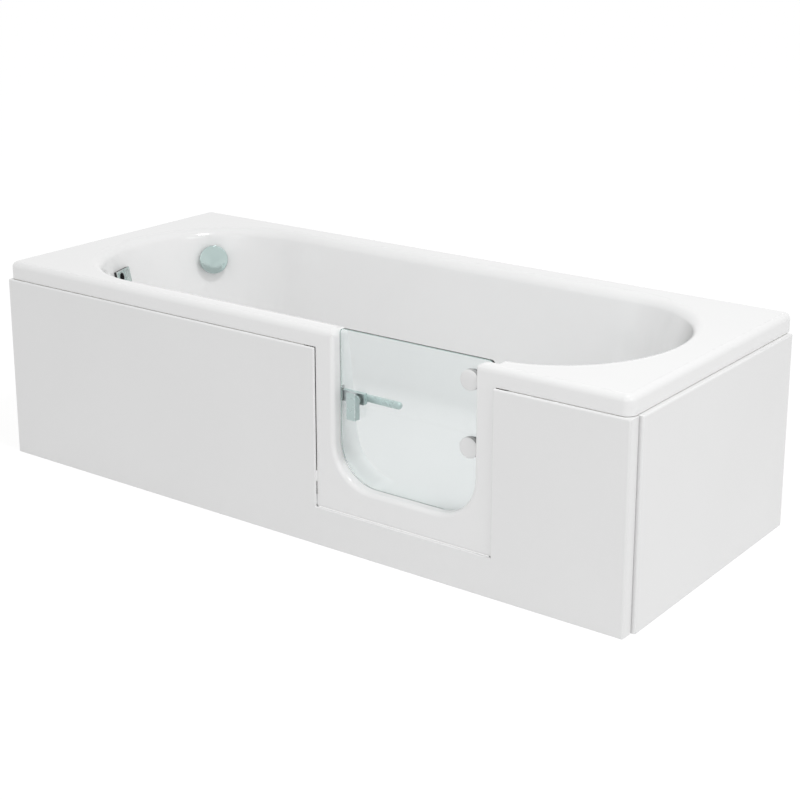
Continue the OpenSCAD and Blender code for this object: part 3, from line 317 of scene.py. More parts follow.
# %% Drawn-out lines
BROAD_SHARE = 0.65       # of the pattern; the fine lines have the rest
DARK_LINES = (0.36, 0.62)
lines, given, result = new_group("drawn_lines", {
    "Color": (COLOR, (0.8, 0.8, 0.8, 1)), "Line Color": (COLOR, (0.6, 0.6, 0.6, 1)),
    "Stretch": (VECTOR, (2.0, 60.0, 60.0)), "Fine Scale": (VALUE, 8.0),
    "Roughness": (VALUE, 0.4), "Spread": (VALUE, 0.15),
}, {"Color": COLOR, "Roughness": VALUE, "Height": VALUE})
where = stretched(lines, place_of(lines), given["Stretch"])
broad = noise(lines, where, 1.0, detail=3.0, distortion=1.2)
fine = noise(lines, where, given["Fine Scale"], detail=2.0)
both = combine(lines, "ADD", combine(lines, "MULTIPLY", broad, BROAD_SHARE),
               combine(lines, "MULTIPLY", fine, 1 - BROAD_SHARE))
share = steps(lines, both, *DARK_LINES)
lines.links.new(blend(lines, share, given["Color"], given["Line Color"]),
                result.inputs["Color"])
swing = combine(lines, "MULTIPLY", combine(lines, "SUBTRACT", fine, 0.5), given["Spread"])
lines.links.new(combine(lines, "ADD", given["Roughness"], swing), result.inputs["Roughness"])
lines.links.new(both, result.inputs["Height"])
print("group", lines.name)

# %% [markdown]
# ## The finishes
# A finish starts as one Principled shader. Constant values sit on the shader itself;
# the groups feed its colour, its roughness and a small bump.

# %% Start a finish
def grey(level):
    return (level, level, level, 1.0)


def group_node(tree, group, **values):
    return add(tree, "ShaderNodeGroup", p_node_tree=group, **values).outputs


def new_look(name, **constants):
    material = bpy.data.materials.new(name)
    tree = new_tree(material)
    shader = add(tree, "ShaderNodeBsdfPrincipled", **constants)
    add(tree, "ShaderNodeOutputMaterial", Surface=shader.outputs[0])
    return material, tree, shader


def paint(tree, shader, color, roughness):
    """Feed a colour and a roughness that change over the surface."""
    tree.links.new(color, shader.inputs["Base Color"])
    tree.links.new(roughness, shader.inputs["Roughness"])


def bump(tree, shader, height, strength, depth):
    """Bump of so many millimetres at full strength."""
    node = add(tree, "ShaderNodeBump", Height=height, Strength=strength, Distance=depth * MM)
    tree.links.new(node.outputs[0], shader.inputs["Normal"])


print("ready to start a finish")

# %% [markdown]
# Gloss plastic, rubber, chrome and satin alloy are all skins: one colour with faint
# patches, edges that are worn to another colour, and a fine grain. One function makes
# them, with the amounts as its arguments.

# %% A skin
GRAIN_STRENGTH = 0.5


def skin(name, color, patch, rough, spread, worn_color, worn_rough, wear, patch_scale,
         grain, grain_depth, **constants):
    """A plain skin with handling patches, worn edges and a grain so many mm deep."""
    material, tree, shader = new_look(name, **constants)
    base = group_node(tree, handled, Color=color, Patch_Color=patch, Patch_Scale=patch_scale,
                      Roughness=rough, Spread=spread, Grain_Scale=grain)
    edge = group_node(tree, worn, Color=base["Color"], Worn_Color=worn_color,
                      Roughness=base["Roughness"], Worn_Roughness=worn_rough, Amount=wear)
    paint(tree, shader, edge["Color"], edge["Roughness"])
    bump(tree, shader, base["Height"], GRAIN_STRENGTH, grain_depth)
    return material


print("skins get a grain of strength", GRAIN_STRENGTH)

# %% [markdown]
# White gloss is the finish that the picture is about. Sanitary acrylic is a shade lighter
# than the panels, deep and smooth, with only faint waves in its shine. The hinge caps
# are the same kind of plastic, with their sides painted grey as shade from the jamb,
# and the inside of a panel is the same sheet left dull.

# %% White plastics
acrylic = skin(
    "acrylic_gloss", grey(0.905), grey(0.895), rough=0.12, spread=0.05,
    worn_color=grey(0.915), worn_rough=0.10, wear=0.4, patch_scale=3.0, grain=60.0,
    grain_depth=0.05, Coat_Weight=0.25, Coat_Roughness=0.04)
panel_gloss = skin(
    "panel_gloss", grey(0.875), grey(0.865), rough=0.16, spread=0.05,
    worn_color=grey(0.89), worn_rough=0.12, wear=0.5, patch_scale=2.5, grain=70.0,
    grain_depth=0.06, Coat_Weight=0.2, Coat_Roughness=0.06)
panel_inside = skin(
    "panel_inside", grey(0.78), grey(0.70), rough=0.55, spread=0.15,
    worn_color=grey(0.82), worn_rough=0.5, wear=0.4, patch_scale=5.0, grain=400.0,
    grain_depth=0.08)
cap_white = skin(
    "cap_white", grey(0.86), grey(0.84), rough=0.18, spread=0.06,
    worn_color=grey(0.9), worn_rough=0.15, wear=0.5, patch_scale=20.0, grain=300.0,
    grain_depth=0.02, Coat_Weight=0.2, Coat_Roughness=0.05)
# Painted shade: the grey of a cap's side stands in for the shadow of the jamb beside it.
cap_side_painted_shade = skin(
    "cap_side_painted_shade", grey(0.42), grey(0.38), rough=0.35, spread=0.1,
    worn_color=grey(0.5), worn_rough=0.3, wear=0.5, patch_scale=20.0, grain=600.0,
    grain_depth=0.02)
pipe_white = skin(
    "pipe_white", grey(0.80), (0.77, 0.765, 0.75, 1), rough=0.36, spread=0.12,
    worn_color=grey(0.85), worn_rough=0.3, wear=0.5, patch_scale=14.0, grain=500.0,
    grain_depth=0.03)
print("white plastics made")

# %% [markdown]
# The back of the moulding is what the fitter sees: resin sprayed over chopped glass
# strands. Three drawn-out noises, each turned a different way, lie over each other like
# the strands, and a larger noise makes the thick and thin places of the resin.

# %% Glass-fibre backing
STRAND_TURNS = (20, 80, 140)      # degrees, one for each layer
STRAND_LEAN = (0.4, 0.7, 1.0)     # share of that turn about each axis
STRAND_STRETCH = (25, 420, 420)
fibre_back, tree, shader = new_look("fibre_backing", Specular_IOR_Level=0.4)
where = place_of(tree)
strands = 0.0            # zero at first, then the socket of the layers so far
for turn in STRAND_TURNS:
    laid = add(tree, "ShaderNodeMapping", Vector=where,
               Rotation=tuple(math.radians(turn * k) for k in STRAND_LEAN),
               Scale=STRAND_STRETCH).outputs[0]
    strand = steps(tree, noise(tree, laid, 1.0, detail=1.0), 0.55, 0.68)
    strands = combine(tree, "MAXIMUM", strand, strands)
resin = steps(tree, noise(tree, where, 9.0, detail=4.0, distortion=0.6), 0.35, 0.65)
tone = blend(tree, resin, (0.60, 0.575, 0.47, 1), (0.72, 0.70, 0.62, 1))
tone = blend(tree, combine(tree, "MULTIPLY", strands, 0.5), tone, (0.83, 0.82, 0.76, 1))
paint(tree, shader, tone, steps(tree, resin, 0, 1, 0.5, 0.3))
bump(tree, shader, combine(tree, "ADD", strands, resin), 0.7, 0.6)
print("finish", fibre_back.name)

# %% [markdown]
# The door is clear toughened glass. Seen through its face it has the faintest green;
# seen from its ground edge the light travels a long way through it and the edge is a
# strong dark green. Its lower edge stands close to the white sill and is given a much
# paler colour there: painted light from the sill.
# Light for shadows passes straight through, or the door would throw the shadow of a board.

# %% Door glass
GLASS_IOR = 1.5
SHADOW_TINT = (0.93, 0.97, 0.955, 1)
MARKS = (0.45, 0.75)     # the values of the noise where a mark begins and is full
MARK_DULLNESS = 0.03


def glass(name, color, roughness, scale):
    material = bpy.data.materials.new(name)
    tree = new_tree(material)
    shader = add(tree, "ShaderNodeBsdfPrincipled", Base_Color=color, IOR=GLASS_IOR,
                 Transmission_Weight=1.0)
    marks = noise(tree, place_of(tree), scale, detail=4.0, distortion=0.5)
    tree.links.new(steps(tree, marks, *MARKS, roughness, roughness + MARK_DULLNESS),
                   shader.inputs["Roughness"])
    clear = add(tree, "ShaderNodeBsdfTransparent", Color=SHADOW_TINT)
    path = add(tree, "ShaderNodeLightPath").outputs
    mixed = add(tree, "ShaderNodeMixShader", i0=path["Is Shadow Ray"], i1=shader.outputs[0],
                i2=clear.outputs[0])
    add(tree, "ShaderNodeOutputMaterial", Surface=mixed.outputs[0])
    return material


glass_face = glass("glass_face", (0.95, 0.987, 0.987, 1), roughness=0.0, scale=7.0)
glass_edge = glass("glass_edge", (0.30, 0.52, 0.46, 1), roughness=0.12, scale=300.0)
# The pale finish is painted light: the lower edge is made lighter as if lit by the white sill.
glass_foot_painted_light = glass("glass_foot_painted_light", (0.78, 0.89, 0.86, 1), roughness=0.12, scale=300.0)
print("finishes", glass_face.name, glass_edge.name, glass_foot_painted_light.name)

# %% [markdown]
# The metals differ in how they were finished. Chrome is polished and shows the room; the
# cover of the overflow slot has a lighter one. The latch is satin alloy, a cool grey in
# which only broad lights show.

# %% Chrome and satin alloy
chrome = skin(
    "chrome", (0.50, 0.60, 0.585, 1), (0.47, 0.57, 0.555, 1), rough=0.07, spread=0.04,
    worn_color=(0.80, 0.83, 0.84, 1), worn_rough=0.05, wear=0.6, patch_scale=25.0,
    grain=200.0, grain_depth=0.004, Metallic=1.0)
chrome_light = skin(
    "chrome_light", (0.76, 0.81, 0.80, 1), (0.72, 0.77, 0.76, 1), rough=0.10, spread=0.04,
    worn_color=(0.86, 0.88, 0.88, 1), worn_rough=0.07, wear=0.6, patch_scale=25.0,
    grain=200.0, grain_depth=0.004, Metallic=0.8)
satin_alloy = skin(
    "satin_alloy", (0.50, 0.60, 0.59, 1), (0.47, 0.57, 0.56, 1), rough=0.30, spread=0.08,
    worn_color=(0.68, 0.75, 0.745, 1), worn_rough=0.22, wear=0.6, patch_scale=30.0,
    grain=1500.0, grain_depth=0.01, Metallic=0.4)
print("chrome and alloy made")

# %% [markdown]
# Hinge plates are brushed stainless steel, with fine lines along Y. The cradle is plain
# steel with a zinc coat, whose crystals make small dull and bright islands.

# %% Stainless steel and zinc
def brushed(name, color, line_color, stretch, rough, spread, depth):
    """Bare metal with fine lines, so many millimetres deep."""
    material, tree, shader = new_look(name, Metallic=1.0)
    base = group_node(tree, lines, Color=color, Line_Color=line_color, Stretch=stretch,
                      Roughness=rough, Spread=spread)
    edge = group_node(tree, worn, Color=base["Color"], Worn_Color=(0.85, 0.86, 0.87, 1),
                      Roughness=base["Roughness"], Worn_Roughness=rough * 0.6, Amount=0.6)
    paint(tree, shader, edge["Color"], edge["Roughness"])
    bump(tree, shader, base["Height"], 0.4, depth)
    return material


stainless = brushed(
    "stainless", (0.62, 0.63, 0.64, 1), (0.52, 0.53, 0.54, 1), stretch=(900, 60, 900),
    rough=0.28, spread=0.14, depth=0.01)

zinc, tree, shader = new_look("zinc_coat", Metallic=1.0)
where = place_of(tree)
cells = add(tree, "ShaderNodeTexVoronoi", Vector=where, Scale=110.0)
crystal = add(tree, "ShaderNodeRGBToBW", Color=cells.outputs["Color"]).outputs[0]
dull = noise(tree, where, 12.0, detail=5.0)
tone = blend(tree, crystal, (0.50, 0.52, 0.54, 1), (0.68, 0.69, 0.70, 1))
tone = blend(tree, steps(tree, dull, 0.5, 0.75, 0.0, 0.6), tone, (0.60, 0.60, 0.585, 1))
edge = group_node(tree, worn, Color=tone, Worn_Color=(0.78, 0.79, 0.80, 1),
                  Roughness=steps(tree, crystal, 0, 1, 0.42, 0.28), Worn_Roughness=0.25,
                  Amount=0.7)
paint(tree, shader, edge["Color"], edge["Roughness"])
bump(tree, shader, crystal, 0.25, 0.02)
print("steels made")

# %% [markdown]
# Wood under the rim is sawn pine, and the board under the floor is chipboard: pressed
# chips, light and dark, a few millimetres long.

# %% Softwood and chipboard
def softwood(name, stretch):
    material, tree, shader = new_look(name, Specular_IOR_Level=0.3)
    base = group_node(tree, lines, Color=(0.66, 0.48, 0.28, 1),
                      Line_Color=(0.50, 0.33, 0.17, 1), Stretch=stretch, Fine_Scale=6.0,
                      Roughness=0.7, Spread=0.2)
    edge = group_node(tree, worn, Color=base["Color"], Worn_Color=(0.72, 0.56, 0.36, 1),
                      Roughness=base["Roughness"], Worn_Roughness=0.8, Amount=0.6)
    paint(tree, shader, edge["Color"], edge["Roughness"])
    bump(tree, shader, base["Height"], 0.6, 0.4)
    return material


wood_along_x = softwood("softwood_along_x", (2.5, 55, 55))
wood_along_y = softwood("softwood_along_y", (55, 2.5, 55))

chipboard, tree, shader = new_look("chipboard", Specular_IOR_Level=0.25)
where = place_of(tree)
CHIP_SCALES = ((420, 160, 420), (150, 380, 380))
chips = [add(tree, "ShaderNodeTexVoronoi", Vector=stretched(tree, where, scale),
             Scale=1.0).outputs["Color"] for scale in CHIP_SCALES]
shade = add(tree, "ShaderNodeRGBToBW", Color=blend(tree, 0.5, *chips)).outputs[0]
tone = blend(tree, steps(tree, shade, 0.25, 0.75), (0.36, 0.25, 0.14, 1),
             (0.66, 0.53, 0.35, 1))
paint(tree, shader, tone, steps(tree, shade, 0, 1, 0.9, 0.65))
bump(tree, shader, shade, 0.6, 0.3)
print("softwood and chipboard made")

# %% [markdown]
# The rest is plastic and rubber: black fittings with a fine moulded grain, black washers,
# and a soft grey door seal that lets a little light in.

# %% Black plastic and rubber
black_plastic = skin(
    "black_plastic", (0.022, 0.022, 0.024, 1), (0.035, 0.035, 0.036, 1), rough=0.38,
    spread=0.12, worn_color=grey(0.09), worn_rough=0.3, wear=0.6, patch_scale=18.0,
    grain=1400.0, grain_depth=0.05)
rubber = skin(
    "gasket_rubber", grey(0.025), grey(0.04), rough=0.7, spread=0.15,
    worn_color=grey(0.06), worn_rough=0.6, wear=0.5, patch_scale=30.0, grain=1800.0,
    grain_depth=0.06)
seal_rubber = skin(
    "seal_rubber", (0.52, 0.54, 0.54, 1), (0.47, 0.49, 0.49, 1), rough=0.5, spread=0.12,
    worn_color=(0.62, 0.64, 0.64, 1), worn_rough=0.45, wear=0.5, patch_scale=15.0,
    grain=1200.0, grain_depth=0.03, Subsurface_Weight=0.1,
    Subsurface_Radius=(0.002,) * 3)
print("plastic and rubber made")

# %% [markdown]
# ## Working on pieces
# The construction pieces arrive as loose triangles with razor-sharp edges. Each piece is
# dressed on a copy. The copy is merged, and triangles that lie in one plane are made one
# face, because a bevel only follows clean edges.

# %% Copy a piece and clean it
MERGE_GAP = 0.01 * MM
FLAT_ANGLE = 0.3         # degrees; faces that meet at less are one flat face


def only(piece):
    """Select one piece and nothing else."""
    if bpy.context.mode != "OBJECT":
        bpy.ops.object.mode_set(mode="OBJECT")
    bpy.ops.object.select_all(action="DESELECT")
    piece.select_set(True)
    bpy.context.view_layer.objects.active = piece


def modify(piece, kind, **values):
    """Add one modifier and apply it."""
    only(piece)
    modifier = piece.modifiers.new(kind.lower(), kind)
    for name, value in values.items():
        setattr(modifier, name, value)
    bpy.ops.object.modifier_apply(modifier=modifier.name)


def merged_copy(node, name):
    """Copy of a construction piece with its points merged and its flat faces cleaned."""
    mesh = nodes[node].data.copy()
    mesh.materials.clear()
    piece = bpy.data.objects.new(name, mesh)
    scene.collection.objects.link(piece)
    only(piece)
    bpy.ops.mesh.customdata_custom_splitnormals_clear()
    bpy.ops.object.mode_set(mode="EDIT")
    bpy.ops.mesh.select_all(action="SELECT")
    bpy.ops.mesh.remove_doubles(threshold=MERGE_GAP)
    bpy.ops.mesh.dissolve_limited(angle_limit=math.radians(FLAT_ANGLE))
    bpy.ops.object.mode_set(mode="OBJECT")
    return piece


print("pieces are merged within", MERGE_GAP / MM, "mm")

# %% [markdown]
# Then the copy gets its rounded edges. The bevel puts its new faces into a material slot
# of their own; that mark moves into the attribute edge, which the finishes read, and the
# slots are emptied for the real finishes.

# %% Round the edges
CREASE = 32              # degrees; edges that turn by more are rounded or stay sharp


def soften(piece, width, segments=2, angle=CREASE):
    """Round the edges and mark the new narrow faces in the attribute edge."""
    mesh = piece.data
    mesh.materials.append(None)
    mesh.materials.append(None)
    marked = len(mesh.materials) - 1
    if width:
        modify(piece, "BEVEL", width=width * MM, segments=segments, limit_method="ANGLE",
               angle_limit=math.radians(angle), use_clamp_overlap=False, material=marked)
    edge = mesh.attributes.new("edge", "FLOAT", "FACE")
    edge.data.foreach_set("value", [float(f.material_index == marked) for f in mesh.polygons])
    mesh.polygons.foreach_set("material_index", [0] * len(mesh.polygons))
    mesh.materials.clear()


print("edges over", CREASE, "degrees get rounded")

# %% [markdown]
# Last, the copy is shaded smooth and takes its finish. It rides on the body of the
# construction piece and stands in for it.

# %% Hand a piece over
FLAT_FIRST = 80          # how strongly large faces rule the shading of their edges


def hand_over(piece, look, *replaced, angle=CREASE):
    """Smooth a piece, give it its finish, and let it stand in for construction pieces."""
    only(piece)
    for material in look if isinstance(look, tuple) else (look,):
        piece.data.materials.append(material)
    bpy.ops.object.shade_smooth_by_angle(angle=math.radians(angle))
    modify(piece, "WEIGHTED_NORMAL", keep_sharp=True, weight=FLAT_FIRST)
    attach(piece, body_of[replaced[0]])
    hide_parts(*replaced)
    print(piece.name, len(piece.data.polygons), "faces")


def pick_faces(piece, index, test):
    """Give every face that passes the test another of the piece's finishes."""
    for face in piece.data.polygons:
        if test(face):
            face.material_index = index


print("hand-over ready")

# %% [markdown]
# Many construction pieces hold several loose parts, such as four screws. What is
# modelled anew needs the box of each part.

# %% Find the parts of a piece
def parts_of(node):
    """Lowest and highest corner of every loose part of a construction piece."""
    piece = merged_copy(node, "parts")
    bpy.ops.object.mode_set(mode="EDIT")
    bpy.ops.mesh.select_all(action="SELECT")
    bpy.ops.mesh.separate(type="LOOSE")
    bpy.ops.object.mode_set(mode="OBJECT")
    boxes = []
    for part in list(bpy.context.selected_objects):
        corners = [v.co.copy() for v in part.data.vertices]
        low = Vector([min(c[k] for c in corners) for k in range(3)])
        high = Vector([max(c[k] for c in corners) for k in range(3)])
        boxes.append((low, high))
        bpy.data.objects.remove(part)
    return sorted(boxes, key=lambda box: tuple(round(v, 4) for v in box[0]))


print("screws on the rails", len(parts_of("rail_screws")))

# %% [markdown]
# ## The moulding
# The bath itself is one moulded sheet. Its shape is right as constructed, so the copy
# only gets smooth shading. What it needs is two finishes: gloss where a bather sees it,
# and bare glass fibre behind. A face is on the show side if nothing of the moulding lies
# straight above it, which a ray sent upwards from the face finds out.

# %% Find the hidden side
def face_point(piece):
    """A function that gives a point inside a face, also of a hollow outline."""
    mesh = piece.data
    mesh.calc_loop_triangles()
    best = {}
    for triangle in mesh.loop_triangles:
        if triangle.area > best.get(triangle.polygon_index, (0, None))[0]:
            best[triangle.polygon_index] = (triangle.area, Vector(triangle.center))
    return lambda face: best[face.index][1] if face.index in best else face.center.copy()


def hide_side(piece, index, direction, reach=0.5 * MM):
    """Faces from which a ray in that direction hits the piece get the second finish."""
    mesh = piece.data
    tree = BVHTree.FromPolygons([v.co.copy() for v in mesh.vertices],
                                [list(f.vertices) for f in mesh.polygons])
    point = face_point(piece)
    pick_faces(piece, index,
               lambda f: tree.ray_cast(point(f) + f.normal * reach, direction)[0] is not None)


print("ready to tell the two sides of a sheet apart")

# %% [markdown]
# On the moulding the ray goes straight up. Its roll over the rim has many narrow faces,
# so they are shaded smooth up to a slightly larger angle than elsewhere.

# %% Dress the moulding
ROLL_ANGLE = 38
bath = merged_copy("bath_shell", "bath_moulding")
soften(bath, 0)
hide_side(bath, 1, UP)
hand_over(bath, (acrylic, fibre_back), "bath_shell", angle=ROLL_ANGLE)
print("bare faces", sum(f.material_index for f in bath.data.polygons))

# %% [markdown]
# The two panels are thin white trays. They are moulded, so their edges are soft, and
# behind they are left dull. The show side of the front panel is the one that can be
# seen from the front, and that of the end panel the one that can be seen from the right.

# %% Dress the panels
PANEL_EDGE = 1.7
for node, direction in (("front_panel", FRONT), ("end_panel", RIGHT)):
    panel = merged_copy(node, node + "_dressed")
    soften(panel, PANEL_EDGE, segments=3)
    hide_side(panel, 1, direction)
    hand_over(panel, (panel_gloss, panel_inside), node)

# %% [markdown]
# ## The glass door
# Toughened glass has ground edges: a small flat chamfer all round and in every hole.
# The two large faces are clear, the narrow faces get the green edge finish, and those
# that look down to the sill get the pale one, which is painted light from the white sill.

# %% Dress the glass
CHAMFER = 0.9
SQUARE_EDGE = 60         # degrees; the round holes' own facets turn by less
door = merged_copy("door_glass", "door_glass_dressed")
soften(door, CHAMFER, segments=1, angle=SQUARE_EDGE)
hand_over(door, (glass_face, glass_edge, glass_foot_painted_light), "door_glass")
LARGE_FACE = 0.9         # Y of the normal; a face below that is a narrow one
LOOKS_DOWN = -0.3        # Z of the normal
pick_faces(door, 1, lambda f: abs(f.normal.y) < LARGE_FACE)
# Painted light: narrow faces that look down get the paler finish, as if lit by the sill.
pick_faces(door, 2, lambda f: abs(f.normal.y) < LARGE_FACE and f.normal.z < LOOKS_DOWN)

# %% [markdown]
# ## Plain fittings
# Most fittings are right as constructed and only need rounded edges and their finish.
# One list names them: the construction piece, its finish, and how many millimetres its
# edges are rounded. Sheet metal gets little, timber and castings get more.

# %% Dress the plain fittings
PLAIN = (
    ("door_seal", seal_rubber, 0.5), ("hinge_gaskets", rubber, 0.08),
    ("hinge_bolts", stainless, 0.5), ("hinge_leaves", stainless, 0.7),
    ("hinge_brackets", stainless, 0.4), ("hinge_pins", stainless, 0.4),
    ("glass_bush", pipe_white, 0.3), ("lever_rose", satin_alloy, 0.5),
    ("latch_spindle", stainless, 0.4), ("latch_pinion", stainless, 0.1),
    ("latch_plate", stainless, 0.25), ("latch_case", satin_alloy, 0.6),
    ("latch_bolt", stainless, 0.2), ("keeper_plate", stainless, 0.4),
    ("overflow_ring", chrome, 0.4), ("overflow_elbow", black_plastic, 0.8),
    ("overflow_nut", black_plastic, 0.8), ("overflow_pipe", pipe_white, 0.4),
    ("pipe_bend", black_plastic, 0.6), ("slot_hose_tail", black_plastic, 0.4),
    ("waste_flange", chrome, 0.5), ("waste_nut", black_plastic, 0.8),
    ("waste_body", pipe_white, 0.8), ("trap_body", pipe_white, 0.8),
    ("trap_cap", black_plastic, 0.5), ("base_board", chipboard, 0.5),
    ("cradle_rails", zinc, 0.5), ("levelling_nuts", zinc, 0.5),
    ("feet", black_plastic, 0.8), ("panel_clips", zinc, 0.25),
)
for node, look, width in PLAIN:
    piece = merged_copy(node, node + "_dressed")
    soften(piece, width)
    hand_over(piece, look, node)

# %% [markdown]
# Timber is cut from long planks, so its grain runs along each batten. The long battens
# run along the bath and the end battens across it, and each gets the finish whose grain
# follows its own length.

# %% Dress the timber
TIMBER_EDGE = 1.0
for node in ("rim_battens", "floor_battens"):
    piece = merged_copy(node, node + "_dressed")
    soften(piece, TIMBER_EDGE)
    across = [(low, high) for low, high in parts_of(node)
              if high.y - low.y > high.x - low.x]

    def lies_across(face):
        x, y, _ = face.center
        return any(low.x - MM <= x <= high.x + MM and low.y - MM <= y <= high.y + MM
                   for low, high in across)

    pick_faces(piece, 1, lies_across)
    hand_over(piece, (wood_along_x, wood_along_y), node)

# %% [markdown]
# ## Turned pieces
# Knob, plug, caps and screws are round, so they are made as on a lathe: a disc is drawn
# up step by step, and each new ring is scaled to its radius. The piece is made upright
# at the origin, then turned to its axis and moved to its place, which is applied.

# %% Make a lathe
def turned(name, profile, sides=64):
    """Round piece about Z through (radius, height) points in millimetres."""
    radius, height = profile[0][0] * MM, profile[0][1] * MM
    if bpy.context.mode != "OBJECT":
        bpy.ops.object.mode_set(mode="OBJECT")
    bpy.ops.object.select_all(action="DESELECT")
    bpy.ops.mesh.primitive_circle_add(vertices=sides, radius=radius, fill_type="NGON",
                                      location=(0, 0, height))
    piece = bpy.context.object
    piece.name = name
    bpy.ops.object.mode_set(mode="EDIT")
    for next_radius, next_height in profile[1:]:
        next_radius, next_height = next_radius * MM, next_height * MM
        bpy.ops.mesh.extrude_region_move(
            TRANSFORM_OT_translate={"value": (0, 0, next_height - height)})
        scale = next_radius / radius
        bpy.ops.transform.resize(value=(scale, scale, 1), center_override=(0, 0, next_height))
        radius, height = next_radius, next_height
    bpy.ops.mesh.select_all(action="SELECT")
    bpy.ops.mesh.normals_make_consistent(inside=False)
    bpy.ops.object.mode_set(mode="OBJECT")
    set_on(piece, Vector((0, 0, 0)), UP)
    return piece


def set_on(piece, at, axis):
    """Turn a piece that was made along Z to its axis, and move it to its place."""
    turn = Vector(axis).to_track_quat("Z", "Y").to_matrix().to_4x4()
    piece.matrix_world = Matrix.Translation(at) @ turn @ piece.matrix_world
    only(piece)
    bpy.ops.object.transform_apply(location=True, rotation=True, scale=True)


print("lathe ready")

# %% [markdown]
# What repeats is modelled once. Each copy gets its own mesh and is set on its place, and
# the copies are joined, because the construction has them in one piece too.

# %% Repeat and join
DOME_TIP = 0.02          # share of the radius that stays as a flat at the top of a dome


def copy_of(piece, name):
    """A copy with a mesh of its own."""
    twin = piece.copy()
    twin.data = piece.data.copy()
    twin.name = name
    scene.collection.objects.link(twin)
    return twin


def joined(pieces, name):
    """Several loose parts as one piece."""
    only(pieces[0])
    for piece in pieces[1:]:
        piece.select_set(True)
    bpy.ops.object.join()
    pieces[0].name = name
    return pieces[0]


def repeated(pattern, name, places, axis):
    """A pattern copied to several places, as one piece; the pattern goes."""
    copies = []
    for at in places:
        copies.append(copy_of(pattern, "copy"))
        set_on(copies[-1], at, axis)
    bpy.data.objects.remove(pattern)
    return joined(copies, name)


def dome(radius, low, rise, rings=6):
    """Points of a low dome, from its edge to its middle."""
    turns = [math.radians(90 * k / rings) for k in range(1, rings)]
    return [(radius * math.cos(t), low + rise * math.sin(t)) for t in turns] + [
        (radius * DOME_TIP, low + rise)]


print("copies and domes ready")

# %% [markdown]
# The knob that works the waste is a thick chrome disc with a flat face and a narrow
# rounded edge. Its axis and its place come from the joint that turns it.

# %% Make the overflow knob
KNOB_R = 36.0
KNOB_BACK = 7.0
KNOB_FACE = 24.0
SHAFT_R = 5.0
SHAFT_L = 30.0
knob = turned("overflow_knob_dressed", [
    (SHAFT_R, -SHAFT_L), (SHAFT_R, KNOB_BACK), (KNOB_R - 2.2, KNOB_BACK),
    (KNOB_R - 0.7, KNOB_BACK + 0.7), (KNOB_R, KNOB_BACK + 2.2), (KNOB_R, KNOB_FACE - 1.6),
    (KNOB_R - 0.2, KNOB_FACE - 0.9), (KNOB_R - 0.7, KNOB_FACE - 0.3),
    (KNOB_R - 1.6, KNOB_FACE), (KNOB_R * 0.5, KNOB_FACE), (1, KNOB_FACE),
], sides=96)
joint = joints["knob_turn"]
set_on(knob, Vector(joint["pos_m"]), joint["axis"])
hand_over(knob, chrome, "overflow_knob")

# %% [markdown]
# The plug is a low chrome dome on a stem. It rises on its stem when the knob is turned.

# %% Make the plug
low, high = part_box("waste_plug")
middle = (low + high) / 2
PLUG_R = (high.x - low.x) / 2 / MM
PLUG_H = 6.0
STEM_R = 4.0
top = (high.z - low.z) / MM
plug = turned("waste_plug_dressed", [
    (STEM_R - 0.5, 0), (STEM_R, 0.5), (STEM_R, top - PLUG_H), (PLUG_R - 2.4, top - PLUG_H),
    (PLUG_R - 0.8, top - PLUG_H + 0.6), (PLUG_R, top - PLUG_H + 2),
    (PLUG_R - 0.6, top - PLUG_H + 3.2)] + dome(PLUG_R - 1.4, top - 2.2, 2.2), sides=64)
set_on(plug, Vector((middle.x, middle.y, low.z)), UP)
hand_over(plug, chrome, "waste_plug")

# %% [markdown]
# The white caps on the glass hide the hinge bolts. One cap is turned with a rounded
# edge and a low dome, and copied to both hinges. The side of a cap is a grey ring of
# painted shade, for the shadow that the jamb beside it throws.

# %% Make the hinge caps
CAP_EDGE = 1.2
CAP_DOME = 3.2
CAP_FOOT = 0.6
boxes = parts_of("hinge_caps")
low, high = boxes[0]
radius, depth = (high.x - low.x) / 2 / MM, (high.y - low.y) / MM
side = depth - CAP_DOME - CAP_EDGE
bend = [(radius - CAP_EDGE * (1 - math.cos(t)), side + CAP_EDGE * math.sin(t))
        for t in (math.radians(a) for a in (0, 22, 45, 68))]
pattern = turned("cap_pattern", [(radius - CAP_FOOT, 0), (radius, CAP_FOOT)] + bend
                 + dome(radius - CAP_EDGE, depth - CAP_DOME, CAP_DOME, rings=8), sides=96)
cap = repeated(pattern, "hinge_caps_dressed", [
    Vector(((low.x + high.x) / 2, high.y, (low.z + high.z) / 2)) for low, high in boxes],
    FRONT)
hand_over(cap, (cap_white, cap_side_painted_shade), "hinge_caps")
CAP_SIDE = 0.3           # Y of the normal; the faces below that are the side
# The side of each cap gets the painted shade.
pick_faces(cap, 1, lambda f: abs(f.normal.y) < CAP_SIDE)

# %% [markdown]
# ## Latch
# The outer lever starts as a block. A slanting cut takes the back of its upper end
# away, and all edges are rounded.

# %% Make the outer lever
def block(name, low, high):
    bpy.ops.object.select_all(action="DESELECT")
    bpy.ops.mesh.primitive_cube_add(size=1, location=(low + high) / 2, scale=high - low)
    piece = bpy.context.object
    piece.name = name
    bpy.ops.object.transform_apply(location=True, rotation=True, scale=True)
    return piece


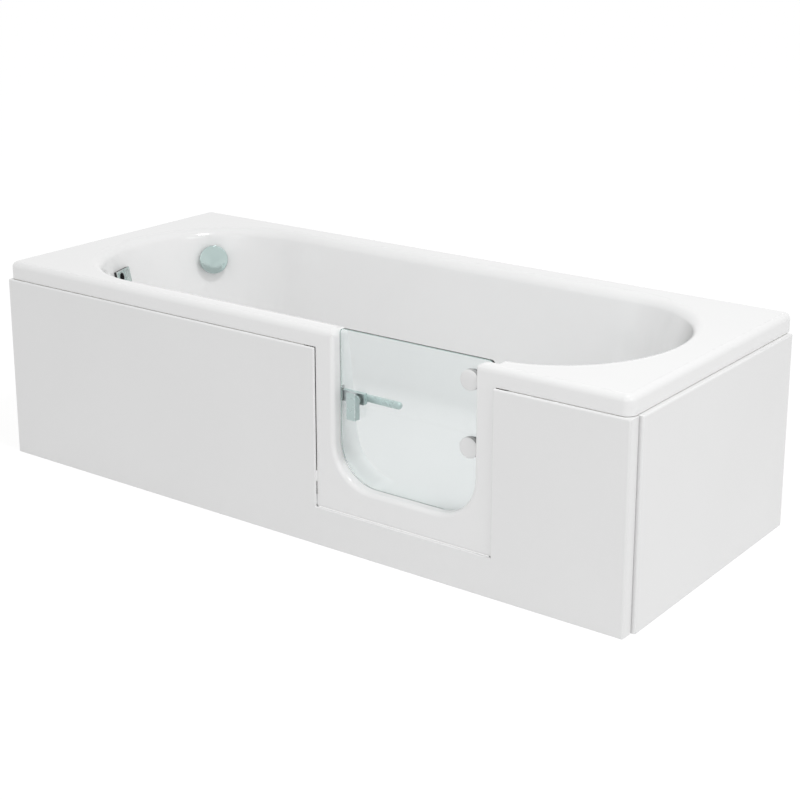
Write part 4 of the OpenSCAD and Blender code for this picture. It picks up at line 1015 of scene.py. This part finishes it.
LEVER_TIP = 5 * MM       # thickness at the upper end
LEVER_SHOULDER = 6 * MM  # height of the cut's foot above the spindle
LEVER_EDGE = 1.6
low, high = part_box("outer_lever")
spindle = Vector(joints["latch_turn"]["pos_m"])
lever = block("outer_lever_dressed", low, high)
shoulder = Vector((0, high.y, spindle.z + LEVER_SHOULDER))
tip = Vector((0, low.y + LEVER_TIP, high.z))
slope = tip - shoulder
bpy.ops.object.mode_set(mode="EDIT")
bpy.ops.mesh.select_all(action="SELECT")
bpy.ops.mesh.bisect(plane_co=shoulder, plane_no=(0, slope.z, -slope.y), use_fill=True,
                    clear_outer=True)
bpy.ops.object.mode_set(mode="OBJECT")
soften(lever, LEVER_EDGE, segments=4)
hand_over(lever, satin_alloy, "outer_lever")

# %% [markdown]
# The handle inside is a round bar with a domed end. A short boss carries it on the
# spindle; it is turned on its own and united with the bar.

# %% Make the inner handle
low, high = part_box("inner_handle")
HANDLE_R = (high.z - low.z) / 2 / MM
length = (high.x - low.x) / MM
handle = turned("inner_handle_dressed", [
    (HANDLE_R - 1, 0), (HANDLE_R - 0.3, 0.3), (HANDLE_R, 1), (HANDLE_R, length - HANDLE_R)]
    + dome(HANDLE_R, length - HANDLE_R, HANDLE_R, rings=8), sides=48)
bar_y = high.y - HANDLE_R * MM
set_on(handle, Vector((low.x, bar_y, spindle.z)), RIGHT)
boss = turned("boss", [(HANDLE_R - 0.5, 0), (HANDLE_R - 0.1, 0.4),
                       (HANDLE_R - 0.1, (bar_y - low.y) / MM)], sides=48)
set_on(boss, Vector((spindle.x, low.y, spindle.z)), -FRONT)
modify(handle, "BOOLEAN", operation="UNION", object=boss, solver="EXACT")
bpy.data.objects.remove(boss)
soften(handle, 0)
hand_over(handle, satin_alloy, "inner_handle")

# %% [markdown]
# ## Screws
# A screw is turned once, and its cross recess is cut with two crossed blocks. The copies
# go where the construction has its screws, with their heads outwards.

# %% Make the screws
def screw(head_r, head_h, shank_r, length):
    """Screw with the face of its head at the origin, looking up."""
    piece = turned("screw", [(shank_r, -length), (shank_r, -head_h), (head_r, -head_h),
                             (head_r, -head_h * 0.45), (head_r * 0.9, -head_h * 0.18),
                             (head_r * 0.7, 0)], sides=32)
    arm, width, depth = head_r * 0.5 * MM, head_r * 0.13 * MM, head_h * 0.6 * MM
    cuts = [block("cut", Vector((-x, -y, -depth)), Vector((x, y, depth)))
            for x, y in ((arm, width), (width, arm))]
    for cut in cuts:
        modify(piece, "BOOLEAN", operation="DIFFERENCE", object=cut, solver="EXACT")
        bpy.data.objects.remove(cut)
    return piece


print("screw pattern ready")

# %% [markdown]
# Three kinds of screw are needed: for the rails, which go in from below, and for the
# hinge brackets and the keeper, which look along the bath.

# %% Drive the screws
SCREWS = (  # node, finish, way the head looks, head radius and height, shank radius
    ("rail_screws", zinc, -UP, 4.5, 2.5, 1.75),
    ("bracket_screws", stainless, RIGHT, 4.5, 2.5, 1.75),
    ("keeper_screws", stainless, RIGHT, 1.5, 1.2, 1.2),
)
for node, look, axis, head_r, head_h, shank_r in SCREWS:
    boxes = parts_of(node)
    low, high = boxes[0]
    length = max((high - low).dot(axis), (low - high).dot(axis)) / MM
    pattern = screw(head_r, head_h, shank_r, length)
    to_face = axis * length / 2 * MM
    piece = repeated(pattern, node + "_dressed",
                     [(low + high) / 2 + to_face for low, high in boxes], axis)
    soften(piece, 0)
    hand_over(piece, look, node)

# %% [markdown]
# The levelling studs are threaded rod, the one place where a thread is in plain view. A
# small triangle is wound up with the Screw modifier, which gives a true helix; both ends
# of the ridge are closed.

# %% Wind the thread
PITCH = 1.75
ROOT_SHARE = 0.86        # root radius as a share of the outer radius
RIDGE_FOOT = 0.42        # half the width of the ridge at its foot, as a share of the pitch
RIDGE_SINK = 0.15        # the foot stands this deep in the core
RIDGE_STEPS = 18         # in one turn
WELD_GAP = 0.001 * MM
boxes = parts_of("levelling_studs")
low, high = boxes[0]
stud_r, length = (high.x - low.x) / 2 / MM, (high.z - low.z) / MM
root_r = stud_r * ROOT_SHARE
foot_r = root_r - RIDGE_SINK
bpy.ops.object.select_all(action="DESELECT")
bpy.ops.mesh.primitive_circle_add(vertices=3, radius=1, fill_type="NOTHING")
ridge = bpy.context.object
corners = ((foot_r, -RIDGE_FOOT * PITCH), (stud_r, 0), (foot_r, RIDGE_FOOT * PITCH))
for vertex, (out, up) in zip(ridge.data.vertices, corners):
    vertex.co = (out * MM, 0, (up + PITCH) * MM)
turns = int(length / PITCH) - 2
modify(ridge, "SCREW", axis="Z", screw_offset=PITCH * MM, iterations=turns, steps=RIDGE_STEPS,
       render_steps=RIDGE_STEPS, use_normal_calculate=True)
bpy.ops.object.mode_set(mode="EDIT")
bpy.ops.mesh.select_all(action="SELECT")
bpy.ops.mesh.remove_doubles(threshold=WELD_GAP)
bpy.ops.mesh.select_all(action="DESELECT")
bpy.ops.mesh.select_non_manifold()
bpy.ops.mesh.fill_holes(sides=3)
bpy.ops.mesh.select_all(action="SELECT")
bpy.ops.mesh.normals_make_consistent(inside=False)
bpy.ops.object.mode_set(mode="OBJECT")
print("thread with", turns, "turns")

# %% [markdown]
# The ridge goes round a plain core with bevelled ends, and the stud is copied to each
# foot.

# %% Make the studs
END_BEVEL = 0.8
THREAD_ANGLE = 40        # degrees; the flanks are shaded smooth along the helix
core = turned("core", [(root_r - END_BEVEL, 0), (root_r, END_BEVEL),
                       (root_r, length - END_BEVEL), (root_r - END_BEVEL, length)], sides=24)
stud = repeated(joined([core, ridge], "stud_pattern"), "levelling_studs_dressed",
                [Vector(((low.x + high.x) / 2, (low.y + high.y) / 2, low.z))
                 for low, high in boxes], UP)
soften(stud, 0)
hand_over(stud, zinc, "levelling_studs", angle=THREAD_ANGLE)

# %% [markdown]
# ## Overflow slot
# The overflow slot has a chromed cover that stands off the wall, and the water runs in
# at its sides. The sides get the black finish, painted shade for the dark gap between the
# cover and the wall, and the front and its shallow well shine.

# %% Dress the overflow slot
cover = merged_copy("slot_cover", "slot_cover_dressed")
COVER_EDGE = 0.8
MARGIN = 2 * MM          # the shiny front reaches this far down the sides
FACING = 0.5             # share of a normal that counts as facing a way
soften(cover, COVER_EDGE)
out = sum((f.normal * f.area for f in cover.data.polygons if f.normal.x > FACING),
          Vector()).normalized()
low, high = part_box("slot_cover")
middle = (low + high) / 2
top = max((v.co - middle).dot(out) for v in cover.data.vertices)


def is_painted_shade_side(face):
    """Is a face an outer side of the cover, below its rounded front edge?"""
    offset = face.center - middle
    deep = top - offset.dot(out)
    across = offset - out * offset.dot(out)
    return deep > MARGIN and abs(face.normal.dot(out)) < FACING and face.normal.dot(across) > 0


# Painted shade: the outer sides of the cover are made black for the gap by the wall.
pick_faces(cover, 1, is_painted_shade_side)
hand_over(cover, (chrome_light, black_plastic), "slot_cover")
